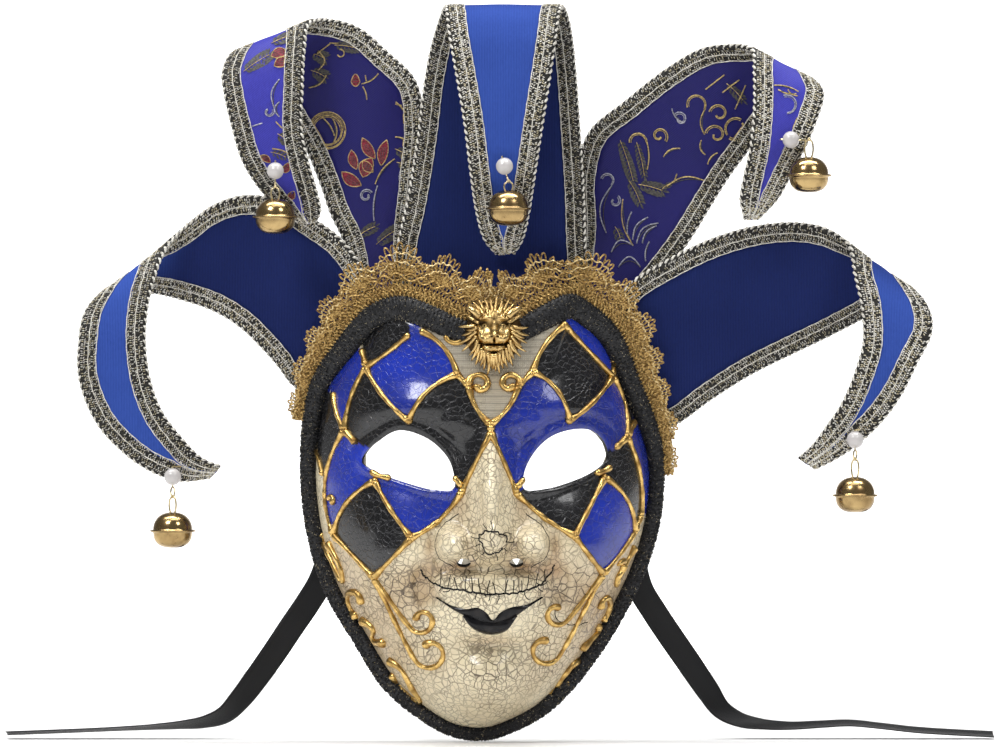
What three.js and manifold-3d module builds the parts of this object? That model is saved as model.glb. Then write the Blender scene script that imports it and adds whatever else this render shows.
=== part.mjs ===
// Full-face jester carnival mask with five belled cloth horns.
// Millimetres, +Z up, the face looks along -Y, the origin is at eye level in the plane of the temples.
import * as THREE from 'three';
import { mergeVertices } from 'three/addons/utils/BufferGeometryUtils.js';
import Module from 'manifold-3d';

const wasm = await Module();
wasm.setup();

const SHELL_WALL = 2;
const SHELL_FRONT = -50;
const SHELL_CENTRE = { x: 3, z: -30 };
const SHELL_RINGS = [0.09, 0.19, 0.32, 0.47, 0.65, 0.85, 1];
const FIT_GAP = 0.3;
const RELIEF_GAP = 1;
const RELIEF_WIDTH = 2.6;
const RELIEF_HEIGHT = 1.5;
const RELIEF_BEND = 1;
const RELIEF_OVERRUN = 0.3;
const RIM_THICK = 6;
const LACE_THICK = 1.2;
const LACE_PERIOD = 21;
const CLOTH_THICK = 2;
const BRAID_WIDTH = 9;
const BRAID_THICK = 3.2;
const HORN_STEPS = 19;
const PEARL_RADIUS = 4;
const PEARL_BORE = 0.75;
const WIRE_RADIUS = 0.4;
const LINK_PITCH = 1.1;
const EYE_WIDTH = 3;
const LOOP_WIDTH = 3.2;
const BELL_RADIUS = 9.2;
const BELL_HEIGHT = 17.4;
const BELL_FLANGE = 10.6;
const BELL_WALL = 0.9;
const BELL_SLOT = 2.2;
const RIBBON_WIDTH = 12;
const RIBBON_THICK = 1;

// Rim of the mask from the chin round by the wearer's right temple: edge, braid width, lace depth.
const RIM = [
  { x: 0, z: -127.8, y: -16, braid: 6, lace: 0 },
  { x: -16.5, z: -126, y: -15, braid: 6, lace: 0 },
  { x: -31, z: -118, y: -13, braid: 6, lace: 0 },
  { x: -47, z: -104, y: -10, braid: 6, lace: 0 },
  { x: -62, z: -81, y: -5, braid: 6, lace: 0 },
  { x: -76, z: -57, y: 0, braid: 6, lace: 0 },
  { x: -84, z: -30, y: 3, braid: 6, lace: 0 },
  { x: -87, z: -4, y: 4, braid: 6, lace: 2 },
  { x: -86, z: 23, y: 1, braid: 7, lace: 6 },
  { x: -82, z: 42, y: -5, braid: 8, lace: 9 },
  { x: -71, z: 60, y: -16, braid: 10, lace: 13 },
  { x: -56, z: 77, y: -27, braid: 11, lace: 19 },
  { x: -41, z: 82, y: -35, braid: 11, lace: 23 },
  { x: -26, z: 78, y: -40, braid: 11, lace: 23 },
  { x: -12, z: 71, y: -43, braid: 10, lace: 24 },
  { x: 2, z: 67, y: -44, braid: 9, lace: 26 },
  { x: 15, z: 71, y: -43, braid: 10, lace: 23 },
  { x: 27, z: 78, y: -40, braid: 11, lace: 22 },
  { x: 40, z: 83, y: -35, braid: 11, lace: 21 },
  { x: 53, z: 76, y: -27, braid: 11, lace: 20 },
  { x: 63, z: 65, y: -17, braid: 10, lace: 16 },
  { x: 72, z: 44, y: -6, braid: 9, lace: 12 },
  { x: 82, z: 14, y: 2, braid: 7, lace: 8 },
  { x: 83.5, z: -3, y: 4, braid: 6, lace: 4 },
  { x: 81, z: -27, y: 3, braid: 6, lace: 0 },
  { x: 73, z: -52, y: 0, braid: 6, lace: 0 },
  { x: 59, z: -78, y: -5, braid: 6, lace: 0 },
  { x: 47, z: -95, y: -9, braid: 6, lace: 0 },
  { x: 30, z: -114, y: -13, braid: 6, lace: 0 },
  { x: 15, z: -123, y: -15, braid: 6, lace: 0 },
];
const LACE_FIRST = 8;
const LACE_LAST = 23;
const LACE_STEPS = 64;

// Raised and sunk forms of the face, each a smooth mound on the shell.
const FACE_FORMS = [
  { form: 'bridge', x: 2.4, z: 4, wide: 9, tall: 16, rise: 6 },
  { form: 'nose ridge', x: 2.6, z: -14, wide: 9.5, tall: 13, rise: 11 },
  { form: 'nose tip', x: 3.2, z: -31, wide: 12, tall: 11, rise: 20 },
  { form: 'left nose wing', x: -13, z: -37, wide: 8.5, tall: 7.5, rise: 8 },
  { form: 'right nose wing', x: 19, z: -37, wide: 8.5, tall: 7.5, rise: 8 },
  { form: 'left brow', x: -38, z: 30, wide: 26, tall: 10, rise: 5 },
  { form: 'right brow', x: 41, z: 30, wide: 26, tall: 10, rise: 5 },
  { form: 'left socket', x: -36, z: 5, wide: 20, tall: 13, rise: -6 },
  { form: 'right socket', x: 38, z: 5, wide: 20, tall: 13, rise: -6 },
  { form: 'left cheek', x: -44, z: -34, wide: 21, tall: 20, rise: 5 },
  { form: 'right cheek', x: 47, z: -34, wide: 21, tall: 20, rise: 5 },
  { form: 'muzzle', x: 1, z: -62, wide: 26, tall: 16, rise: 6 },
  { form: 'upper lip', x: 0.5, z: -63.5, wide: 18, tall: 4.5, rise: 2.5 },
  { form: 'lower lip', x: 1, z: -72, wide: 12, tall: 4.5, rise: 3.5 },
  { form: 'fold under the lip', x: 1, z: -83, wide: 18, tall: 6, rise: -3 },
  { form: 'chin', x: 1, z: -102, wide: 17, tall: 14, rise: 8 },
];

// Outlines of the almond eye holes, from the outer corner along the lower lid.
const EYE_LEFT = [
  { x: -58.3, z: 3.8 },
  { x: -51.5, z: -0.7 },
  { x: -36.5, z: -6 },
  { x: -24, z: -9 },
  { x: -15, z: -8.5 },
  { x: -15.5, z: 0.5 },
  { x: -18.5, z: 7 },
  { x: -27.4, z: 15 },
  { x: -40.7, z: 18.8 },
  { x: -50, z: 14 },
  { x: -56.4, z: 8.5 },
];
const EYE_RIGHT = [
  { x: 57.2, z: 5.5 },
  { x: 50, z: -0.7 },
  { x: 39, z: -5.5 },
  { x: 28, z: -8.5 },
  { x: 17.9, z: -8.5 },
  { x: 18, z: -0.7 },
  { x: 23, z: 9 },
  { x: 30.7, z: 16 },
  { x: 41.5, z: 19.3 },
  { x: 50, z: 18.5 },
  { x: 56, z: 12.5 },
];
const NOSTRILS = [
  { x: -10.3, z: -43, wide: 6.6, tall: 4.2 },
  { x: 14.3, z: -43, wide: 6.6, tall: 4.2 },
];

// Meeting points of the gilt lines.
const NODES = {
  brow: { x: 2.4, z: 17.9 },
  heart: { x: 2.2, z: 21.6 },
  heartL: { x: -8, z: 39.5 },
  heartR: { x: 15.3, z: 39.5 },
  topL: { x: -13.4, z: 44.9 },
  edgeL: { x: -31, z: 65.5 },
  overEyeL: { x: -36, z: 23.5 },
  templeL: { x: -56.3, z: 48.4 },
  freeL: { x: -35.5, z: 64 },
  rimL: { x: -58.5, z: 57 },
  sideL: { x: -66.5, z: 18.8 },
  sideRimL: { x: -71.7, z: 36.7 },
  lidL: { x: -60.8, z: 12.4 },
  cheekL: { x: -72, z: -30.6 },
  cornerL: { x: -52, z: -5 },
  underL: { x: -34.7, z: -31.3 },
  noseL: { x: -11.3, z: -9.8 },
  jawL: { x: -52.6, z: -50.3 },
  topR: { x: 21.9, z: 46.2 },
  edgeR: { x: 36.8, z: 68 },
  overEyeR: { x: 39, z: 23.5 },
  templeR: { x: 59.5, z: 43.9 },
  rimR: { x: 59.8, z: 53 },
  sideR: { x: 66.4, z: 15.5 },
  sideRimR: { x: 70.3, z: 23.3 },
  lidR: { x: 60.5, z: 10 },
  outerR: { x: 73, z: -22 },
  cheekR: { x: 70, z: -29.4 },
  cornerR: { x: 55.6, z: -3.5 },
  underR: { x: 41.5, z: -30.6 },
  noseR: { x: 14.3, z: -10.5 },
  jawR: { x: 54.8, z: -48.6 },
};

// Gilt lines between meeting points; bow is the sideways swing of the middle, to the left of travel.
const LINES = [
  { from: 'brow', to: 'heart', bow: 0 },
  { from: 'heart', to: 'heartL', bow: 2 },
  { from: 'heart', to: 'heartR', bow: -2 },
  { from: 'heartL', to: 'topL', bow: 0 },
  { from: 'heartR', to: 'topR', bow: 0 },
  { from: 'topL', to: 'edgeL', bow: -3.4 },
  { from: 'topL', to: 'overEyeL', bow: -3.8 },
  { from: 'overEyeL', to: 'templeL', bow: 2.2 },
  { from: 'templeL', to: 'freeL', bow: -0.7 },
  { from: 'templeL', to: 'rimL', bow: 0 },
  { from: 'templeL', to: 'sideL', bow: -2.1 },
  { from: 'sideRimL', to: 'sideL', bow: -1.3 },
  { from: 'sideL', to: 'lidL', bow: 0 },
  { from: 'sideL', to: 'cheekL', bow: -6.5 },
  { from: 'cornerL', to: 'cheekL', bow: -4.1 },
  { from: 'cornerL', to: 'underL', bow: -1 },
  { from: 'underL', to: 'noseL', bow: -2.6 },
  { from: 'noseL', to: 'brow', bow: 0 },
  { from: 'underL', to: 'jawL', bow: 0 },
  { from: 'cheekL', to: 'jawL', bow: 0 },
  { from: 'topR', to: 'edgeR', bow: 2.4 },
  { from: 'topR', to: 'overEyeR', bow: 3.9 },
  { from: 'overEyeR', to: 'templeR', bow: -1.9 },
  { from: 'templeR', to: 'edgeR', bow: 0 },
  { from: 'templeR', to: 'rimR', bow: 0 },
  { from: 'templeR', to: 'sideR', bow: 2.7 },
  { from: 'sideR', to: 'sideRimR', bow: 0 },
  { from: 'sideR', to: 'lidR', bow: 0 },
  { from: 'sideR', to: 'outerR', bow: 3 },
  { from: 'outerR', to: 'cheekR', bow: 0 },
  { from: 'cheekR', to: 'jawR', bow: 0.8 },
  { from: 'cornerR', to: 'cheekR', bow: 4.2 },
  { from: 'cornerR', to: 'underR', bow: 0 },
  { from: 'underR', to: 'noseR', bow: 1.5 },
  { from: 'noseR', to: 'brow', bow: 0 },
  { from: 'underR', to: 'jawR', bow: 0 },
];

// Gilt scrolls that leave a meeting point and curl round a centre, angles in degrees.
const SCROLLS = [
  { from: 'heartL', x: -4.2, z: 41.2, r0: 3.8, r1: 1.4, a0: 150, a1: -130 },
  { from: 'heartR', x: 11.5, z: 41.4, r0: 3.8, r1: 1.4, a0: 30, a1: 310 },
  { from: 'jawL', x: -29.8, z: -70, r0: 6.5, r1: 2.4, a0: -130, a1: 190 },
  { from: 'jawL', x: -26, z: -85.5, r0: 8, r1: 4, a0: -150, a1: 140 },
  { from: 'jawR', x: 33, z: -67, r0: 6, r1: 2.6, a0: -40, a1: -310 },
  { from: 'jawR', x: 27.5, z: -84, r0: 7.5, r1: 4, a0: -35, a1: -295 },
];

// Loose gilt strokes along the rim.
const RIM_STROKES = [
  { name: 'rim_scroll_left_1', x0: -75.5, z0: -34, x1: -67.5, z1: -52, bow: -1.5 },
  { name: 'rim_scroll_left_2', x0: -57.5, z0: -61, x1: -60, z1: -69.5, bow: -6 },
  { name: 'rim_scroll_left_3', x0: -57, z0: -73, x1: -47.5, z1: -82, bow: 2 },
  { name: 'rim_scroll_left_4', x0: -44, z0: -90.5, x1: -31, z1: -108, bow: 2.5 },
  { name: 'rim_scroll_right_1', x0: 68, z0: -37, x1: 60.5, z1: -53, bow: 1.5 },
  { name: 'rim_scroll_right_2', x0: 53, z0: -62, x1: 53.5, z1: -71, bow: 3 },
  { name: 'rim_scroll_right_3', x0: 50, z0: -74.5, x1: 44, z1: -83.5, bow: 1.5 },
  { name: 'rim_scroll_right_4', x0: 40, z0: -90, x1: 28, z1: -105, bow: -2 },
];

// Cloth horns, a row per section from the root to the tip: one braided edge a, the other edge b.
const HORN_CENTRE = [
  { ax: -46, ay: -26.3, az: 70, bx: 50, by: -21.6, bz: 70 },
  { ax: -42, ay: -22, az: 104, bx: 47, by: -22, bz: 104 },
  { ax: -37, ay: -21, az: 127, bx: 46, by: -21, bz: 132 },
  { ax: -32, ay: -20, az: 158, bx: 44, by: -20, bz: 164 },
  { ax: -29, ay: -18, az: 183, bx: 42.5, by: -18, bz: 186 },
  { ax: -25.5, ay: -18, az: 201, bx: 41, by: -18, bz: 201 },
  { ax: -22, ay: -22, az: 212, bx: 39, by: -22, bz: 212 },
  { ax: -19.5, ay: -31, az: 217.5, bx: 36.5, by: -31, bz: 217.5 },
  { ax: -18.5, ay: -41, az: 214.5, bx: 34.5, by: -41, bz: 214.5 },
  { ax: -17.2, ay: -47, az: 204, bx: 33, by: -47, bz: 204 },
  { ax: -14, ay: -50, az: 186, bx: 30.5, by: -50, bz: 187 },
  { ax: -10, ay: -52, az: 162, bx: 27, by: -52, bz: 165 },
  { ax: -7, ay: -49, az: 138, bx: 23, by: -49, bz: 139 },
  { ax: -4.2, ay: -40, az: 120, bx: 20, by: -40, bz: 120 },
  { ax: -0.5, ay: -33, az: 108, bx: 17, by: -33, bz: 108 },
  { ax: 5, ay: -30, az: 101.5, bx: 13, by: -30, bz: 101.5 },
];
const HORN_UPPER_LEFT = [
  { ax: -34, ay: -22.6, az: 70, bx: -60, by: -10.5, bz: 72 },
  { ax: -35, ay: -9, az: 107, bx: -67, by: -9, bz: 107 },
  { ax: -32, ay: -8, az: 137, bx: -73.5, by: -8, bz: 121 },
  { ax: -30, ay: -7, az: 165, bx: -78, by: -7, bz: 134 },
  { ax: -33.5, ay: -6, az: 184, bx: -84.5, by: -6, bz: 150 },
  { ax: -47, ay: -5, az: 198, bx: -92, by: -5, bz: 163 },
  { ax: -60, ay: -5, az: 209, bx: -101, by: -5, bz: 177 },
  { ax: -73, ay: -9, az: 213, bx: -111, by: -9, bz: 190 },
  { ax: -83, ay: -18, az: 211, bx: -119.5, by: -18, bz: 196.5 },
  { ax: -85.4, ay: -26, az: 197, bx: -124, by: -26, bz: 187 },
  { ax: -86.2, ay: -30, az: 178.6, bx: -122.7, by: -30, bz: 175.5 },
  { ax: -86.5, ay: -31, az: 160, bx: -119, by: -31, bz: 160 },
  { ax: -83.5, ay: -30, az: 145.4, bx: -114.4, by: -30, bz: 145 },
  { ax: -79.6, ay: -26, az: 131.3, bx: -106, by: -26, bz: 131.6 },
  { ax: -78, ay: -21, az: 122, bx: -97, by: -21, bz: 122.2 },
  { ax: -80.4, ay: -18, az: 116.7, bx: -87.4, by: -18, bz: 116.2 },
];
const HORN_UPPER_RIGHT = [
  { ax: 37, ay: -18.4, az: 70, bx: 64, by: -6, bz: 68 },
  { ax: 43, ay: -5, az: 112, bx: 88, by: -5, bz: 97 },
  { ax: 43, ay: -5, az: 140, bx: 98, by: -5, bz: 111 },
  { ax: 49, ay: -5, az: 160, bx: 106.5, by: -5, bz: 125 },
  { ax: 66, ay: -4, az: 174.7, bx: 116, by: -4, bz: 140 },
  { ax: 85, ay: -4, az: 189.6, bx: 126.5, by: -4, bz: 154 },
  { ax: 102, ay: -4, az: 199.3, bx: 138, by: -4, bz: 170 },
  { ax: 115, ay: -8, az: 201, bx: 149, by: -8, bz: 182.5 },
  { ax: 125, ay: -17, az: 198.5, bx: 155.5, by: -17, bz: 183 },
  { ax: 126, ay: -25, az: 187, bx: 159, by: -25, bz: 177 },
  { ax: 126, ay: -29, az: 170.5, bx: 156.5, by: -29, bz: 167.5 },
  { ax: 124.5, ay: -31, az: 153.5, bx: 152, by: -31, bz: 156 },
  { ax: 121.4, ay: -29, az: 138.3, bx: 145, by: -27, bz: 142 },
  { ax: 119.7, ay: -26, az: 127.7, bx: 137.5, by: -23, bz: 128 },
  { ax: 122, ay: -22, az: 118, bx: 128, by: -21, bz: 118 },
];
const HORN_LOWER_LEFT = [
  { ax: -50, ay: -23.7, az: 78, bx: -80, by: 3.7, bz: 33 },
  { ax: -58.5, ay: -18.5, az: 95.6, bx: -92, by: 6.4, bz: 40 },
  { ax: -68.6, ay: -15, az: 109, bx: -99, by: 7, bz: 49 },
  { ax: -80, ay: -12, az: 117.5, bx: -107, by: 6, bz: 58 },
  { ax: -94, ay: -9, az: 126, bx: -117, by: 5, bz: 67.5 },
  { ax: -112, ay: -7, az: 129.7, bx: -129, by: 4, bz: 75 },
  { ax: -126.6, ay: -7, az: 126.4, bx: -143, by: 3, bz: 80 },
  { ax: -140.7, ay: -9, az: 116.7, bx: -158, by: -2, bz: 83.5 },
  { ax: -150.5, ay: -16, az: 105.5, bx: -178.5, by: -13, bz: 84.5 },
  { ax: -156, ay: -23, az: 91, bx: -188.5, by: -23, bz: 75 },
  { ax: -159.3, ay: -27, az: 76, bx: -191.5, by: -28, bz: 60 },
  { ax: -160.2, ay: -29, az: 60, bx: -191, by: -30, bz: 42 },
  { ax: -157.8, ay: -30, az: 42, bx: -183.5, by: -30, bz: 23 },
  { ax: -152, ay: -30, az: 27, bx: -172, by: -30, bz: 9.7 },
  { ax: -143, ay: -29, az: 15, bx: -158, by: -29, bz: -0.3 },
  { ax: -133.6, ay: -27, az: 5.5, bx: -144, by: -27, bz: -5 },
  { ax: -124.5, ay: -25, az: 1.5, bx: -130, by: -25, bz: -3.8 },
];
const HORN_LOWER_RIGHT = [
  { ax: 60, ay: -15.6, az: 76, bx: 75, by: 8.4, bz: 16 },
  { ax: 67.7, ay: -13, az: 87.5, bx: 90, by: 8.6, bz: 21 },
  { ax: 86.5, ay: -10, az: 99.5, bx: 107, by: 8, bz: 33 },
  { ax: 108.4, ay: -8, az: 109.7, bx: 126, by: 7, bz: 45 },
  { ax: 130.3, ay: -7, az: 115.6, bx: 145, by: 6, bz: 54.5 },
  { ax: 149, ay: -7, az: 116.6, bx: 165, by: 5, bz: 64.2 },
  { ax: 161.7, ay: -9, az: 113.6, bx: 183, by: 1, bz: 74 },
  { ax: 171, ay: -15, az: 106, bx: 199.5, by: -11, bz: 85.5 },
  { ax: 173.6, ay: -22, az: 92, bx: 208.5, by: -21, bz: 76.5 },
  { ax: 177, ay: -26, az: 75.2, bx: 209.7, by: -27, bz: 65 },
  { ax: 177.3, ay: -29, az: 59.5, bx: 202.6, by: -30, bz: 50.3 },
  { ax: 173.6, ay: -30, az: 46.2, bx: 194.6, by: -31, bz: 34.5 },
  { ax: 167.6, ay: -30, az: 32, bx: 185, by: -30, bz: 21.7 },
  { ax: 160, ay: -29, az: 20.4, bx: 174.2, by: -29, bz: 11.8 },
  { ax: 153.8, ay: -27, az: 11.8, bx: 164.8, by: -27, bz: 5.5 },
  { ax: 147, ay: -25, az: 5.5, bx: 154.5, by: -25, bz: 0.3 },
];
const HORNS = [
  { name: 'centre', rows: HORN_CENTRE, colour: 0x2a48a8 },
  { name: 'upper_left', rows: HORN_UPPER_LEFT, colour: 0x2c2a9c },
  { name: 'upper_right', rows: HORN_UPPER_RIGHT, colour: 0x2c2a9c },
  { name: 'lower_left', rows: HORN_LOWER_LEFT, colour: 0x2a48a8 },
  { name: 'lower_right', rows: HORN_LOWER_RIGHT, colour: 0x2a48a8 },
];

// Pearl, hinge of the wire link and bell of each horn; turn is the link's angle about the vertical, and tail
// the wire's length from the pearl back to the cloth.
const BELLS = [
  { name: 'centre', x: 8.7, y: -55.6, z: 142, hingeX: 10.6, hingeZ: 134.4, bellZ: 122.2, turn: 0, tail: 4 },
  { name: 'upper_left', x: -98.8, y: -36, z: 140.5, hingeX: -98.8, hingeZ: 132.3, bellZ: 118.8, turn: 0, tail: 5 },
  { name: 'upper_right', x: 143, y: -38, z: 155, hingeX: 151.4, hingeZ: 154.6, bellZ: 138.2, turn: 0, tail: 6 },
  { name: 'lower_left', x: -147, y: -35, z: -3, hingeX: -147, hingeZ: -12.9, bellZ: -28.4, turn: 35, tail: 6.4 },
  { name: 'lower_right', x: 173.2, y: -35.2, z: 14.3, hingeX: 173.2, hingeZ: 4.7, bellZ: -11.8, turn: 35, tail: 4.5 },
];

// Tie ribbons, from inside the rim down to the table; turn swings the width from upright to flat.
const RIBBON_LEFT = [
  { x: -75, y: 6.1, z: -34, turn: 0 },
  { x: -75.5, y: 6.6, z: -44, turn: 0 },
  { x: -79, y: 8.2, z: -54, turn: 0 },
  { x: -85, y: 9.5, z: -64, turn: 0 },
  { x: -92.5, y: 9.5, z: -75, turn: 5 },
  { x: -100.5, y: 9.5, z: -87, turn: 10 },
  { x: -109, y: 9.5, z: -99, turn: 18 },
  { x: -117, y: 9.5, z: -109.5, turn: 30 },
  { x: -124.5, y: 9.5, z: -117, turn: 45 },
  { x: -134, y: 9.5, z: -120.5, turn: 60 },
  { x: -146, y: 9.5, z: -122, turn: 70 },
  { x: -160, y: 9.5, z: -123, turn: 76 },
  { x: -175, y: 9.5, z: -123.8, turn: 79 },
  { x: -192, y: 9.5, z: -124.6, turn: 80 },
  { x: -210, y: 9.5, z: -125.3, turn: 80 },
  { x: -228.4, y: 9.5, z: -126, turn: 80 },
];
const RIBBON_RIGHT = [
  { x: 70.5, y: 5.8, z: -34, turn: 0 },
  { x: 70.5, y: 6.6, z: -45, turn: 0 },
  { x: 73.5, y: 8.2, z: -57, turn: 0 },
  { x: 80, y: 9.5, z: -68, turn: 0 },
  { x: 88, y: 9.5, z: -80, turn: 5 },
  { x: 97, y: 9.5, z: -93, turn: 12 },
  { x: 105.5, y: 9.5, z: -105.5, turn: 24 },
  { x: 112, y: 9.5, z: -114.5, turn: 42 },
  { x: 121, y: 9.5, z: -119.5, turn: 58 },
  { x: 132, y: 9.5, z: -121.6, turn: 70 },
  { x: 145, y: 9.5, z: -122.3, turn: 76 },
  { x: 159, y: 9.5, z: -121.6, turn: 78 },
  { x: 173, y: 9.5, z: -121, turn: 79 },
  { x: 188, y: 9.5, z: -122.4, turn: 80 },
  { x: 204, y: 9.5, z: -124.2, turn: 80 },
  { x: 222, y: 9.5, z: -125.4, turn: 80 },
  { x: 241.6, y: 9.5, z: -126.4, turn: 80 },
];

const mask = new THREE.Group();

function addMesh(name, geometry, colour, roughness, metalness) {
  const material = new THREE.MeshStandardMaterial({ color: colour, roughness, metalness });
  const mesh = new THREE.Mesh(geometry, material);
  mesh.name = name;
  mask.add(mesh);
  return mesh;
}

function pointAttribute(points) {
  return new THREE.Float32BufferAttribute(points.flatMap((p) => [p.x, p.y, p.z]), 3);
}

// A closed geometry with shared corners, no collapsed triangles and its faces turned outward.
function closedGeometry(geometry) {
  const bare = geometry.clone();
  bare.deleteAttribute('normal');
  bare.deleteAttribute('uv');
  const merged = mergeVertices(bare, 1e-3);
  const source = merged.index.array;
  const kept = [];
  const a = new THREE.Vector3();
  const b = new THREE.Vector3();
  const c = new THREE.Vector3();
  let volume = 0;
  for (let i = 0; i < source.length; i += 3) {
    const [p, q, r] = [source[i], source[i + 1], source[i + 2]];
    if (p === q || q === r || r === p) {
      continue;
    }
    kept.push(p, q, r);
    a.fromBufferAttribute(merged.attributes.position, p);
    b.fromBufferAttribute(merged.attributes.position, q);
    c.fromBufferAttribute(merged.attributes.position, r);
    volume += a.dot(b.cross(c)) / 6;
  }
  if (volume < 0) {
    kept.reverse();
  }
  const closed = new THREE.BufferGeometry();
  closed.setAttribute('position', merged.attributes.position);
  closed.setIndex(kept);
  closed.computeVertexNormals();
  return closed;
}

function toSolid(geometry) {
  const closed = closedGeometry(geometry);
  const vertProperties = new Float32Array(closed.attributes.position.array);
  const triVerts = new Uint32Array(closed.index.array);
  return new wasm.Manifold(new wasm.Mesh({ numProp: 3, vertProperties, triVerts }));
}

function toGeometry(solid) {
  const mesh = solid.getMesh();
  const geometry = new THREE.BufferGeometry();
  geometry.setAttribute('position', new THREE.BufferAttribute(mesh.vertProperties, 3));
  geometry.setIndex(new THREE.BufferAttribute(mesh.triVerts, 1));
  geometry.computeVertexNormals();
  return geometry;
}

// Skin over a row of like sections; an open row is closed by its two end faces.
function loft(sections, isLoop) {
  const count = sections[0].length;
  const positions = [];
  const index = [];
  for (const section of sections) {
    for (const p of section) {
      positions.push(p.x, p.y, p.z);
    }
  }
  const spans = isLoop ? sections.length : sections.length - 1;
  for (let i = 0; i < spans; i += 1) {
    const next = (i + 1) % sections.length;
    for (let j = 0; j < count; j += 1) {
      const k = (j + 1) % count;
      index.push(i * count + j, next * count + j, next * count + k);
      index.push(i * count + j, next * count + k, i * count + k);
    }
  }
  if (!isLoop) {
    const last = (sections.length - 1) * count;
    for (let j = 1; j < count - 1; j += 1) {
      index.push(0, j, j + 1);
      index.push(last, last + j + 1, last + j);
    }
  }
  const geometry = new THREE.BufferGeometry();
  geometry.setAttribute('position', new THREE.Float32BufferAttribute(positions, 3));
  geometry.setIndex(index);
  return closedGeometry(geometry);
}

function curveOf(points, isLoop) {
  return new THREE.CatmullRomCurve3(points, isLoop, 'centripetal');
}

// Rim samples: edge point, inward direction in the front view, braid width and lace depth.
const rimCurve = curveOf(RIM.map((r) => new THREE.Vector3(r.x, r.y, r.z)), true);
const rimSizes = curveOf(RIM.map((r) => new THREE.Vector3(r.braid, r.lace, 0)), true);

function rimAt(t) {
  const edge = rimCurve.getPoint(t);
  const along = rimCurve.getTangent(t);
  const inward = new THREE.Vector3(along.z, 0, -along.x).normalize();
  const size = rimSizes.getPoint(t);
  return { edge, inward, braid: size.x, lace: size.y };
}

const rimSamples = [];
for (let i = 0; i < RIM.length * 2; i += 1) {
  rimSamples.push(rimAt(i / (RIM.length * 2)));
}
const shellEdge = rimSamples.map((s) => s.edge.clone().addScaledVector(s.inward, s.braid));

function formsRise(x, z) {
  let rise = 0;
  for (const f of FACE_FORMS) {
    const u = (x - f.x) / f.wide;
    const v = (z - f.z) / f.tall;
    rise += f.rise * Math.exp(-u * u - v * v);
  }
  return rise;
}

function shellPoint(edge, ring) {
  const x = SHELL_CENTRE.x + (edge.x - SHELL_CENTRE.x) * ring;
  const z = SHELL_CENTRE.z + (edge.z - SHELL_CENTRE.z) * ring;
  const dome = (1 - ring ** 2.4) ** 0.6;
  const fade = 1 - ring ** 6;
  const y = edge.y + (SHELL_FRONT - edge.y) * dome - formsRise(x, z) * fade;
  return new THREE.Vector3(x, y, z);
}

// Front skin of the shell: a centre point and rings of points out to the braid.
const sectors = shellEdge.length;
const skinPoints = [shellPoint(shellEdge[0], 0)];
for (const ring of SHELL_RINGS) {
  for (const edge of shellEdge) {
    skinPoints.push(shellPoint(edge, ring));
  }
}
const skinFaces = [];
for (let s = 0; s < sectors; s += 1) {
  const n = (s + 1) % sectors;
  skinFaces.push([0, 1 + s, 1 + n]);
  for (let r = 0; r < SHELL_RINGS.length - 1; r += 1) {
    const near = 1 + r * sectors;
    const far = near + sectors;
    skinFaces.push([near + s, far + s, far + n]);
    skinFaces.push([near + s, far + n, near + n]);
  }
}
const skin = new THREE.BufferGeometry();
skin.setAttribute('position', pointAttribute(skinPoints));
skin.setIndex(skinFaces.flat());
skin.computeVertexNormals();

// Depth of the front skin at a place in the front view.
function skinDepth(x, z) {
  let nearest = skinPoints[0];
  let best = Infinity;
  for (const [i, j, k] of skinFaces) {
    const [a, b, c] = [skinPoints[i], skinPoints[j], skinPoints[k]];
    const area = (b.x - a.x) * (c.z - a.z) - (c.x - a.x) * (b.z - a.z);
    const u = ((b.x - x) * (c.z - z) - (c.x - x) * (b.z - z)) / area;
    const v = ((c.x - x) * (a.z - z) - (a.x - x) * (c.z - z)) / area;
    const w = 1 - u - v;
    if (u >= -1e-6 && v >= -1e-6 && w >= -1e-6) {
      return u * a.y + v * b.y + w * c.y;
    }
    const away = (a.x - x) ** 2 + (a.z - z) ** 2;
    if (away < best) {
      best = away;
      nearest = a;
    }
  }
  return nearest.y;
}

// Shell: front skin, back skin one wall behind it and the edge between them.
function shellGeometry() {
  const normals = skin.attributes.normal;
  const facing = normals.getY(0) < 0 ? 1 : -1;
  const points = skinPoints.map((p) => p.clone());
  for (let i = 0; i < skinPoints.length; i += 1) {
    const n = new THREE.Vector3().fromBufferAttribute(normals, i);
    points.push(skinPoints[i].clone().addScaledVector(n, -facing * SHELL_WALL));
  }
  const back = skinPoints.length;
  const faces = [];
  for (const [i, j, k] of skinFaces) {
    faces.push(i, j, k, back + i, back + k, back + j);
  }
  const rim = 1 + (SHELL_RINGS.length - 1) * sectors;
  for (let s = 0; s < sectors; s += 1) {
    const n = (s + 1) % sectors;
    faces.push(rim + s, back + rim + s, back + rim + n);
    faces.push(rim + s, back + rim + n, rim + n);
  }
  const geometry = new THREE.BufferGeometry();
  geometry.setAttribute('position', pointAttribute(points));
  geometry.setIndex(faces);
  return closedGeometry(geometry);
}

// Space kept free for the shell under the raised lines.
function shellClearance() {
  const count = skinPoints.length;
  const points = skinPoints.map((p) => p.clone().setY(p.y - FIT_GAP));
  points.push(...skinPoints.map((p) => p.clone().setY(p.y + SHELL_WALL * 4)));
  const faces = [];
  for (const [i, j, k] of skinFaces) {
    faces.push(i, j, k, count + i, count + k, count + j);
  }
  const rim = 1 + (SHELL_RINGS.length - 1) * sectors;
  for (let s = 0; s < sectors; s += 1) {
    const n = (s + 1) % sectors;
    faces.push(rim + s, count + rim + s, count + rim + n);
    faces.push(rim + s, count + rim + n, rim + n);
  }
  const geometry = new THREE.BufferGeometry();
  geometry.setAttribute('position', pointAttribute(points));
  geometry.setIndex(faces);
  return toSolid(geometry);
}

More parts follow.
